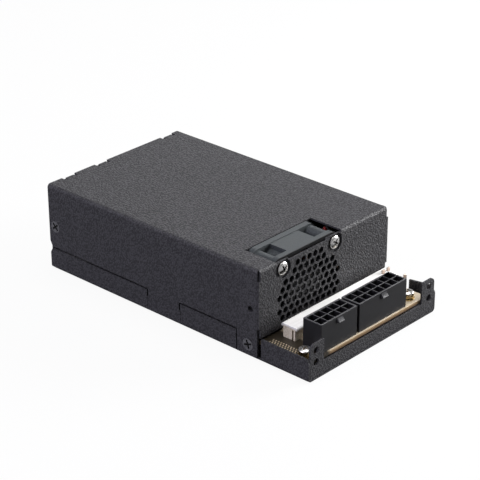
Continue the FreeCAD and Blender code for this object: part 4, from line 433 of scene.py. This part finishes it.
# nodes, and the solder dots, with a shade of their own; zones are in millimetres
headerShade = {"dark": (0.004, 0.004, 0.005), "light": (0.01, 0.01, 0.012), "rough": (0.38, 0.46),
               "size": 0.6, "bump": 0.03, "depth": 0.05, "shine": 0.36,
               # the latch ramps standing out in front are painted lighter: a painted highlight of the light
               # from above
               "zones": [{"axis": "Y", "from": -73.2, "to": -73.4, "dark": (0.03, 0.03, 0.033),
                          "light": (0.05, 0.05, 0.055)},
                         # the cell rims are painted lighter: a painted reflection of the light from behind
                         {"axis": "Z", "from": 21.2, "to": 21.36, "dark": (0.04, 0.04, 0.043),
                          "light": (0.07, 0.07, 0.074)}]}
shadeLook = {
    "output_header_10_way": headerShade,
    "output_header_14_way": headerShade,
    "solder_dots": {"dark": (0.28, 0.22, 0.14), "light": (0.54, 0.45, 0.32), "rough": (0.34, 0.5),
                    "metal": 0.5, "size": 0.5, "bump": 0.05},
    "fan_rotor": {"dark": (0.004, 0.004, 0.005), "light": (0.012, 0.012, 0.014), "rough": (0.3, 0.44),
                  "size": 0.6, "bump": 0.1, "depth": 0.05},
    "fan_frame": {"dark": (0.038, 0.043, 0.046), "light": (0.062, 0.069, 0.073), "rough": (0.44, 0.58),
                  "size": 0.6, "bump": 0.12, "depth": 0.05, "shine": 0.2,
                  # the flange's front face is painted near black: a painted shadow under the cover's edge
                  # and in the grille's holes
                  "zones": [{"axis": "Y", "from": -46.5, "to": -46.8, "dark": (0.0015, 0.0015, 0.002),
                             "light": (0.003, 0.003, 0.004)}]},
    "tray_lock_washers": {"dark": (0.3, 0.2, 0.07), "light": (0.7, 0.54, 0.28), "rough": (0.2, 0.36),
                          "metal": 1.0, "size": 0.5, "bump": 0.05},
    # the tray screws are silver on top and dark gold below: the dark gold is painted shade and reflection on
    # their sides
    "tray_screws": {"dark": (0.2, 0.13, 0.05), "light": (0.55, 0.42, 0.22), "rough": (0.22, 0.38),
                    "metal": 1.0, "size": 0.6, "bump": 0.05,
                    "zones": [{"axis": "Z", "from": 10.9, "to": 11.4, "dark": (0.7, 0.69, 0.67),
                               "light": (0.88, 0.87, 0.85)}]},
    "fan_screws": {"dark": (0.62, 0.61, 0.59), "light": (0.86, 0.85, 0.83), "rough": (0.16, 0.3),
                   "metal": 1.0, "size": 0.5, "bump": 0.05,
                   # the recess floor and the rim's underside are painted darker: painted shade in the recess
                   "zones": [{"axis": "Y", "from": -48.75, "to": -48.5, "dark": (0.08, 0.075, 0.07),
                              "light": (0.2, 0.19, 0.18)}]},
    "cover_screws": {"dark": (0.1, 0.1, 0.105), "light": (0.2, 0.2, 0.205), "rough": (0.3, 0.45),
                     "metal": 0.5, "size": 0.5, "bump": 0.1,
                     # the recess floor is painted near black: painted shade in the recess
                     "zones": [{"axis": "X", "bothSides": True, "from": 40.65, "to": 40.45,
                                "dark": (0.003, 0.003, 0.003), "light": (0.006, 0.006, 0.006)}]},
}
shades = {node: (zonedSurface if "zones" in look else surface)(f"{node}_shade", look)
          for node, look in shadeLook.items()}


def finishOf(node):
    return shades.get(node) or materials[slots[node]]


for node in slots:
    mesh = frame["nodes"][node].data
    mesh.materials.clear()
    mesh.materials.append(finishOf(node))
print("finishes:", len(materials), "and", len(shades), "shades")


def finishPiece(piece, node, replaced):
    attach(piece, bodyOf[node])
    if replaced:
        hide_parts(node)


# a copy of a node's loose triangles, merged into one skin
def mergedCopy(node):
    shape = bmesh.new()
    shape.from_mesh(frame["nodes"][node].data)
    bmesh.ops.remove_doubles(shape, verts=shape.verts, dist=mergeReach)
    return shape


def makePiece(shape, node):
    mesh = bpy.data.meshes.new(f"{node}_dressed")
    shape.to_mesh(mesh)
    shape.free()
    mesh.materials.append(finishOf(node))
    mesh.polygons.foreach_set("use_smooth", [True] * len(mesh.polygons))
    piece = bpy.data.objects.new(f"{node}_dressed", mesh)
    bpy.context.collection.objects.link(piece)
    return piece


# merged copies of visible solids whose sharp edges get a narrow round, its width in millimetres
edgeLook = {"widths": {"top_cover": 0.1, "base_pan": 0.14, "fan_frame": 0.22, "output_header_10_way": 0.17,
                       "output_header_14_way": 0.17, "bus_cap": 0.2, "inlet_housing": 0.25,
                       "output_board": 0.1, "bus_posts": 0.15, "header_pins_10_way": 0.16,
                       "header_pins_14_way": 0.16},
            "segments": 2, "flatAngle": 1}
# edges set back in millimetres: the points in a box, on both sides of the case unless it says one, go to a
# place on one axis, so that the seams and the gap under the fan show as wide as they are
seamLook = {
    "base_pan": [{"low": (39.8, -40, 10.38), "high": (41, 76, 10.42), "axis": 2, "to": 10.1},
                 {"low": (39.8, -36.62, 0), "high": (41, -36.58, 41), "axis": 1, "to": -36.3}],
    "top_cover": [{"low": (39.8, -40, 0.13), "high": (41, 76, 0.17), "axis": 2, "to": 0.75},
                  {"low": (-23, -48.71, 38.9), "high": (2.6, -48.5, 39.42), "axis": 2, "to": 38.9,
                   "oneSide": True},
                  {"low": (-22, -47.91, 38.9), "high": (1.6, -47.7, 39.42), "axis": 2, "to": 38.9,
                   "oneSide": True}],
}


def trimSeams(shape, edges):
    for vert in shape.verts:
        for edge in edges:
            place = vert.co / mm
            if not edge.get("oneSide"):
                place.x = abs(place.x)
            if all(low <= value <= high for low, value, high in zip(edge["low"], place, edge["high"])):
                vert.co[edge["axis"]] = edge["to"] * mm


def softenEdges(node, width, look):
    shape = mergedCopy(node)
    trimSeams(shape, seamLook.get(node, []))
    bmesh.ops.dissolve_limit(shape, angle_limit=math.radians(look["flatAngle"]), verts=shape.verts,
                             edges=shape.edges)
    piece = makePiece(shape, node)
    bevel = piece.modifiers.new("edgeRound", "BEVEL")
    bevel.width = width * mm
    bevel.segments = look["segments"]
    bevel.limit_method = "ANGLE"
    bevel.angle_limit = sharpAngle
    normals = piece.modifiers.new("flatFaces", "WEIGHTED_NORMAL")
    normals.keep_sharp = False
    finishPiece(piece, node, True)


for node, width in edgeLook["widths"].items():
    softenEdges(node, width, edgeLook)
print("softened edges:", len(edgeLook["widths"]), "nodes")

# the fan leads drop behind their crown, so that only the rising run shows in the gap beside the fan: slope
# is the drop for each millimetre behind the crown, up to the most, and it fades out down to the foot
leadLook = {"nodes": ("fan_lead_red", "fan_lead_black"), "crown": -38.6, "slope": 1.6, "most": 6.0,
            "foot": 18.0, "blend": 12.0}


def settleLead(node, look):
    shape = mergedCopy(node)
    for vert in shape.verts:
        behind = min(max(vert.co.y / mm - look["crown"], 0) * look["slope"], look["most"])
        share = min(max((vert.co.z / mm - look["foot"]) / look["blend"], 0), 1)
        vert.co.z -= behind * share * mm
    finishPiece(makePiece(shape, node), node, True)


for node in leadLook["nodes"]:
    settleLead(node, leadLook)
print("settled leads:", len(leadLook["nodes"]))


# boxes of the loose parts of a node's mesh
def looseBoxes(node):
    shape = mergedCopy(node)
    waiting = set(shape.verts)
    boxes = []
    while waiting:
        growing = [waiting.pop()]
        found = []
        while growing:
            spot = growing.pop()
            found.append(spot.co.copy())
            near = {edge.other_vert(spot) for edge in spot.link_edges} & waiting
            waiting -= near
            growing.extend(near)
        low = Vector([min(point[axis] for point in found) for axis in range(3)])
        high = Vector([max(point[axis] for point in found) for axis in range(3)])
        boxes.append((low, high))
    shape.free()
    return sorted(boxes, key=lambda box: [round(value / mm, 1) for value in box[0]])


# grow a Geometry Nodes tree on a set of points, and keep the result as a plain mesh
def growPiece(name, tree, points, values, node, replaced=True):
    mesh = bpy.data.meshes.new(name)
    mesh.from_pydata([point["place"] for point in points], [], [])
    for label, kind in (("axis", "FLOAT_VECTOR"), ("turn", "FLOAT")):
        mesh.attributes.new(label, kind, "POINT")
    for order, point in enumerate(points):
        mesh.attributes["axis"].data[order].vector = point.get("axis", (0, 0, 1))
        mesh.attributes["turn"].data[order].value = point.get("turn", 0.0)
    piece = bpy.data.objects.new(name, mesh)
    bpy.context.collection.objects.link(piece)
    modifier = piece.modifiers.new("grow", "NODES")
    modifier.node_group = tree
    for item in tree.interface.items_tree:
        if item.in_out == "INPUT" and item.name in values:
            modifier[item.identifier] = values[item.name]
    grown = bpy.data.meshes.new_from_object(piece.evaluated_get(bpy.context.evaluated_depsgraph_get()))
    piece.modifiers.remove(modifier)
    grown.materials.clear()
    grown.materials.append(values["Finish"])
    grown.polygons.foreach_set("use_smooth", [True] * len(grown.polygons))
    grown.set_sharp_from_angle(angle=sharpAngle)
    piece.data = grown
    finishPiece(piece, node, replaced)
    return piece


def moved(tree, geometry, x=0.0, z=0.0, turn=(0, 0, 0), scale=(1, 1, 1)):
    place = addNode(tree, "ShaderNodeCombineXYZ", {"X": x, "Z": z}).outputs[0]
    inputs = {"Geometry": geometry, "Translation": place, "Rotation": turn, "Scale": scale}
    return addNode(tree, "GeometryNodeTransform", inputs).outputs["Geometry"]


def together(tree, parts):
    return addNode(tree, "GeometryNodeJoinGeometry", {"Geometry": parts}).outputs["Geometry"]


# set the shape on every point, turned to its axis, then make it one mesh with its finish
def closeTree(tree, given, out, shape):
    axis = addNode(tree, "GeometryNodeInputNamedAttribute", {"Name": "axis"}, data_type="FLOAT_VECTOR")
    turn = addNode(tree, "GeometryNodeInputNamedAttribute", {"Name": "turn"}, data_type="FLOAT")
    facing = addNode(tree, "FunctionNodeAlignRotationToVector", {"Vector": axis.outputs["Attribute"]},
                     axis="Z")
    spin = addNode(tree, "FunctionNodeAxisAngleToRotation", {"Axis": (0, 0, 1),
                                                             "Angle": turn.outputs["Attribute"]})
    both = addNode(tree, "FunctionNodeRotateRotation", {"Rotation": facing.outputs["Rotation"],
                                                        "Rotate By": spin.outputs["Rotation"]},
                   rotation_space="LOCAL")
    placed = addNode(tree, "GeometryNodeInstanceOnPoints", {"Points": given["Spots"], "Instance": shape,
                                                            "Rotation": both.outputs["Rotation"]})
    real = addNode(tree, "GeometryNodeRealizeInstances", {"Geometry": placed.outputs["Instances"]})
    finished = addNode(tree, "GeometryNodeSetMaterial", {"Geometry": real.outputs["Geometry"],
                                                         "Material": given["Finish"]})
    tree.links.new(finished.outputs["Geometry"], out[0])
    return tree


# facets of a screw, and the thread's root as a share of the shank's radius
screwMesh = {"headSides": 40, "domeRings": 24, "shankSides": 20, "threadRoot": 0.82}


# a screw along -Z from its outer face: a domed or a flat head with a cross recess, and a threaded shank
def makeScrewTree(name, flat):
    tree, given, out = newGroup(name, "GeometryNodeTree",
                                [("Spots", "Geometry", None), ("Head Radius", "Float", 2.5 * mm),
                                 ("Head Height", "Float", 2.0 * mm), ("Dome Height", "Float", 1.0 * mm),
                                 ("Recess Reach", "Float", 1.5 * mm), ("Recess Width", "Float", 0.6 * mm),
                                 ("Recess Depth", "Float", 0.8 * mm), ("Shank Radius", "Float", 1.4 * mm),
                                 ("Length", "Float", 6.0 * mm), ("Thread Pitch", "Float", 0.5 * mm),
                                 ("Finish", "Material", None)], [("Screws", "Geometry")])
    radius = given["Head Radius"]
    underHead = mathNode(tree, "MULTIPLY", given["Head Height"], -1.0)
    if flat:
        cone = addNode(tree, "GeometryNodeMeshCone", {"Vertices": screwMesh["headSides"],
                                                      "Radius Top": radius,
                                                      "Radius Bottom": given["Shank Radius"],
                                                      "Depth": given["Head Height"]}).outputs["Mesh"]
        blank = moved(tree, cone, z=underHead)
    else:
        dome = given["Dome Height"]
        rimHeight = mathNode(tree, "SUBTRACT", given["Head Height"], dome)
        rim = addNode(tree, "GeometryNodeMeshCylinder", {"Vertices": screwMesh["headSides"],
                                                         "Radius": radius,
                                                         "Depth": rimHeight}).outputs["Mesh"]
        rimMiddle = mathNode(tree, "ADD", underHead, mathNode(tree, "MULTIPLY", rimHeight, 0.5))
        ball = addNode(tree, "GeometryNodeMeshUVSphere", {"Segments": screwMesh["headSides"],
                                                          "Rings": screwMesh["domeRings"],
                                                          "Radius": 1.0}).outputs["Mesh"]
        size = addNode(tree, "ShaderNodeCombineXYZ", {"X": radius, "Y": radius, "Z": dome}).outputs[0]
        crown = moved(tree, ball, z=mathNode(tree, "MULTIPLY", dome, -1.0), scale=size)
        blank = addNode(tree, "GeometryNodeMeshBoolean", {1: [moved(tree, rim, z=rimMiddle), crown]},
                        operation="UNION", solver="EXACT").outputs["Mesh"]
    reach = mathNode(tree, "MULTIPLY", given["Recess Reach"], 2.0)
    depth = mathNode(tree, "MULTIPLY", given["Recess Depth"], 2.0)
    arms = []
    for x, y in ((reach, given["Recess Width"]), (given["Recess Width"], reach)):
        size = addNode(tree, "ShaderNodeCombineXYZ", {"X": x, "Y": y, "Z": depth}).outputs[0]
        arms.append(addNode(tree, "GeometryNodeMeshCube", {"Size": size}).outputs["Mesh"])
    head = addNode(tree, "GeometryNodeMeshBoolean", {0: blank, 1: arms}, operation="DIFFERENCE",
                   solver="EXACT").outputs["Mesh"]
    shankLength = mathNode(tree, "SUBTRACT", given["Length"], given["Head Height"])
    count = mathNode(tree, "FLOOR", mathNode(tree, "DIVIDE", shankLength, given["Thread Pitch"]))
    pitch = mathNode(tree, "DIVIDE", shankLength, count)
    step = mathNode(tree, "MULTIPLY", pitch, -1.0)
    down = addNode(tree, "ShaderNodeCombineXYZ", {"Z": step}).outputs[0]
    firstRidge = mathNode(tree, "SUBTRACT", underHead, pitch)
    first = addNode(tree, "ShaderNodeCombineXYZ", {"Z": firstRidge}).outputs[0]
    line = addNode(tree, "GeometryNodeMeshLine", {"Count": count, "Start Location": first, "Offset": down})
    root = mathNode(tree, "MULTIPLY", given["Shank Radius"], screwMesh["threadRoot"])
    ridge = addNode(tree, "GeometryNodeMeshCone", {"Vertices": screwMesh["shankSides"],
                                                   "Radius Top": given["Shank Radius"],
                                                   "Radius Bottom": root, "Depth": pitch})
    thread = addNode(tree, "GeometryNodeInstanceOnPoints", {"Points": line.outputs["Mesh"],
                                                            "Instance": ridge.outputs["Mesh"]})
    return closeTree(tree, given, out, together(tree, [head, thread.outputs["Instances"]]))


domedScrew = makeScrewTree("domedScrew", False)
flatScrew = makeScrewTree("flatScrew", True)
frontward = Vector((0, -1, 0))
backward = Vector((0, 1, 0))
upward = Vector((0, 0, 1))
# the head's radius as a share of the solid's, the recess's arm and width as shares of that radius, and its
# depth as a share of the head's height, where a set of screws gives nothing else
plainScrew = {"fit": 1.0, "reach": 0.62, "width": 0.26, "depth": 0.7}
# lengths in millimetres, and the recess's turn from one screw of a set to the next in degrees
screwLook = {
    "fan_screws": {"tree": domedScrew, "axis": frontward, "head": 1.5, "dome": 0.8, "shank": 1.6,
                   "pitch": 0.7, "turn": 28},
    "tray_screws": {"tree": domedScrew, "axis": upward, "head": 2.3, "dome": 1.0, "shank": 1.45,
                    "pitch": 0.5, "turn": 15},
    "main_board_screws": {"tree": domedScrew, "axis": upward, "head": 2.3, "dome": 1.0, "shank": 1.45,
                          "pitch": 0.5, "turn": 50},
    "earth_screw": {"tree": domedScrew, "axis": frontward, "head": 1.8, "dome": 0.8, "shank": 1.4,
                    "pitch": 0.5, "turn": 0},
    "inlet_screws": {"tree": flatScrew, "axis": backward, "head": 0.8, "dome": 0, "shank": 1.4,
                     "pitch": 0.5, "turn": 35},
    "cover_screws": {"tree": flatScrew, "axis": None, "head": 0.8, "dome": 0, "shank": 1.4, "pitch": 0.5,
                     "turn": 20, "fit": 0.93, "reach": 0.7, "width": 0.32},
}


def dressScrews(node, look):
    look = plainScrew | look
    spots = []
    for order, (low, high) in enumerate(looseBoxes(node)):
        middle = (low + high) / 2
        axis = look["axis"] or Vector((math.copysign(1, middle.x), 0, 0))  # side screws face outwards
        reach = (high - low) / 2
        along = sum(abs(share) * half for share, half in zip(axis, reach))
        radius = max(half for share, half in zip(axis, reach) if share == 0)
        turn = math.radians(look["turn"] * (order + 1))
        spots.append({"place": middle + axis * along, "axis": axis, "turn": turn})
    # the screws of a node are alike, so the last one's radius and length do for all
    values = {"Head Radius": radius * look["fit"], "Head Height": look["head"] * mm,
              "Dome Height": look["dome"] * mm, "Recess Reach": radius * look["reach"],
              "Recess Width": radius * look["width"], "Recess Depth": look["head"] * look["depth"] * mm,
              "Shank Radius": look["shank"] * mm, "Length": 2 * along, "Thread Pitch": look["pitch"] * mm,
              "Finish": finishOf(node)}
    growPiece(f"{node}_dressed", look["tree"], spots, values, node)


for node, look in screwLook.items():
    dressScrews(node, look)
print("screws:", len(screwLook), "sets")

# flat washers with split spring washers on them, in millimetres and degrees
washerLook = {"nodes": ("tray_lock_washers", "main_lock_washers"), "flatHeight": 0.5, "springRadius": 2.55,
              "bore": 1.6, "gap": 14, "rise": 0.28, "edge": 0.1, "steps": 48, "sharp": 30}


# a ring of four-sided section with its corners cut, swept about Z and lifted as it turns
def sweepRing(shape, middle, inner, outer, low, high, look, gap=0.0, rise=0.0):
    edge = look["edge"] * mm
    section = [(inner + edge, low), (outer - edge, low), (outer, low + edge), (outer, high - edge),
               (outer - edge, high), (inner + edge, high), (inner, high - edge), (inner, low + edge)]
    steps = look["steps"]
    start = math.radians(gap / 2)
    span = 2 * math.pi - math.radians(gap)
    rings = []
    for step in range(steps + 1 if gap else steps):
        share = step / steps
        turn = start + span * share
        lift = rise * (share - 0.5)
        outward = Vector((math.cos(turn), math.sin(turn), 0))
        rings.append([shape.verts.new((middle.x + radius * outward.x, middle.y + radius * outward.y,
                                       height + lift)) for radius, height in section])
    pairs = list(zip(rings, rings[1:])) if gap else list(zip(rings, rings[1:] + rings[:1]))
    for before, after in pairs:
        for order in range(len(section)):
            following = (order + 1) % len(section)
            shape.faces.new((before[order], before[following], after[following], after[order]))
    if gap:
        shape.faces.new(reversed(rings[0]))
        shape.faces.new(rings[-1])


def dressWashers(node, look):
    shape = bmesh.new()
    bore = look["bore"] * mm
    spring = look["springRadius"] * mm
    halfRise = look["rise"] / 2 * mm
    for low, high in looseBoxes(node):
        middle = (low + high) / 2
        flatTop = low.z + look["flatHeight"] * mm
        sweepRing(shape, middle, bore, high.x - middle.x, low.z, flatTop, look)
        sweepRing(shape, middle, bore, spring, flatTop + halfRise, high.z - halfRise, look, look["gap"],
                  look["rise"] * mm)
    bmesh.ops.recalc_face_normals(shape, faces=shape.faces)
    piece = makePiece(shape, node)
    piece.data.set_sharp_from_angle(angle=math.radians(look["sharp"]))
    finishPiece(piece, node, True)


for node in washerLook["nodes"]:
    dressWashers(node, washerLook)
print("washers:", len(washerLook["nodes"]), "sets")

# solder dots: low domes in staggered columns along the board's left edge, in millimetres
dotLook = {"radius": 0.42, "height": 0.2, "pitch": 1.35, "insets": (1.1, 2.3, 3.5, 4.7), "front": 8.5,
           "rear": 1.5, "slot": "tinned_pin", "sides": 8, "rings": 6}


def makeDotTree(look):
    inputs = [("Spots", "Geometry", None), ("Radius", "Float", 0.4 * mm), ("Height", "Float", 0.15 * mm),
              ("Finish", "Material", None)]
    tree, given, out = newGroup("solderDots", "GeometryNodeTree", inputs, [("Dots", "Geometry")])
    ball = addNode(tree, "GeometryNodeMeshUVSphere", {"Radius": 1.0, "Segments": look["sides"],
                                                      "Rings": look["rings"]}).outputs["Mesh"]
    size = addNode(tree, "ShaderNodeCombineXYZ", {"X": given["Radius"], "Y": given["Radius"],
                                                  "Z": given["Height"]}).outputs[0]
    return closeTree(tree, given, out, moved(tree, ball, scale=size))


def dressBoard(look):
    low, high = boardBox
    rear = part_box("top_cover")[0].y - look["rear"] * mm
    count = int((rear - low.y - look["front"] * mm) / (look["pitch"] * mm))
    spots = []
    for column, inset in enumerate(look["insets"]):
        for order in range(count):
            along = low.y + (look["front"] + look["pitch"] * (order + 0.5 * (column % 2))) * mm
            spots.append({"place": (low.x + inset * mm, along, high.z)})
    values = {"Radius": look["radius"] * mm, "Height": look["height"] * mm, "Finish": shades["solder_dots"]}
    piece = growPiece("solder_dots", makeDotTree(look), spots, values, "output_board", False)
    print("solder dots:", len(spots))


dressBoard(dotLook)

# enamelled wire wound round a ring core: one rounded loop for each turn, in two halves; the solid's winding
# takes up the sector in each half and the loops the span, in degrees
turnLook = {"chokes": ("emi_choke", "pfc_choke", "output_inductor"), "sector": 140, "span": 132,
            "turns": 13, "wall": 1.1, "fit": 0.92, "cornerSteps": 3, "wireSides": 6}


def makeTurnTree(look):
    inputs = [("Spots", "Geometry", None), ("Middle Radius", "Float", 6 * mm),
              ("Loop Width", "Float", 5 * mm), ("Loop Height", "Float", 9 * mm),
              ("Wire Radius", "Float", 0.5 * mm), ("Corner", "Float", 1.2 * mm),
              ("Finish", "Material", None)]
    tree, given, out = newGroup("wireTurns", "GeometryNodeTree", inputs, [("Turns", "Geometry")])
    loop = addNode(tree, "GeometryNodeCurvePrimitiveQuadrilateral", {"Width": given["Loop Width"],
                                                                     "Height": given["Loop Height"]})
    soft = addNode(tree, "GeometryNodeFilletCurve", {"Curve": loop.outputs["Curve"],
                                                     "Count": look["cornerSteps"],
                                                     "Radius": given["Corner"]}, mode="POLY")
    section = addNode(tree, "GeometryNodeCurvePrimitiveCircle", {"Resolution": look["wireSides"],
                                                                 "Radius": given["Wire Radius"]})
    tube = addNode(tree, "GeometryNodeCurveToMesh", {"Curve": soft.outputs["Curve"],
                                                     "Profile Curve": section.outputs["Curve"]})
    upright = moved(tree, tube.outputs["Mesh"], turn=(math.pi / 2, 0, 0))
    return closeTree(tree, given, out, moved(tree, upright, x=given["Middle Radius"]))


turnTree = makeTurnTree(turnLook)


def dressChoke(name, look):
    core, winding = f"{name}_core", f"{name}_winding"
    low, high = (Vector(corner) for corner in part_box(core))
    middle = (low + high) / 2
    outer = (high.x - low.x) / 2
    inner = min((vertex.co.xy - middle.xy).length for vertex in frame["nodes"][core].data.vertices)
    first = (look["sector"] - look["span"]) / 2
    spots = []
    for half in (0, 180):
        for order in range(look["turns"]):
            degrees = half + first + look["span"] * (order + 0.5) / look["turns"]
            spots.append({"place": middle, "turn": math.radians(degrees)})
    wire = look["wall"] / 2 * mm * look["fit"]
    values = {"Middle Radius": (inner + outer) / 2, "Loop Width": outer - inner + 2 * wire,
              "Loop Height": high.z - low.z + 2 * wire, "Wire Radius": wire, "Corner": 2 * wire,
              "Finish": finishOf(winding)}
    growPiece(f"{winding}_dressed", turnTree, spots, values, winding)


for name in turnLook["chokes"]:
    dressChoke(name, turnLook)
print("wound chokes:", len(turnLook["chokes"]))
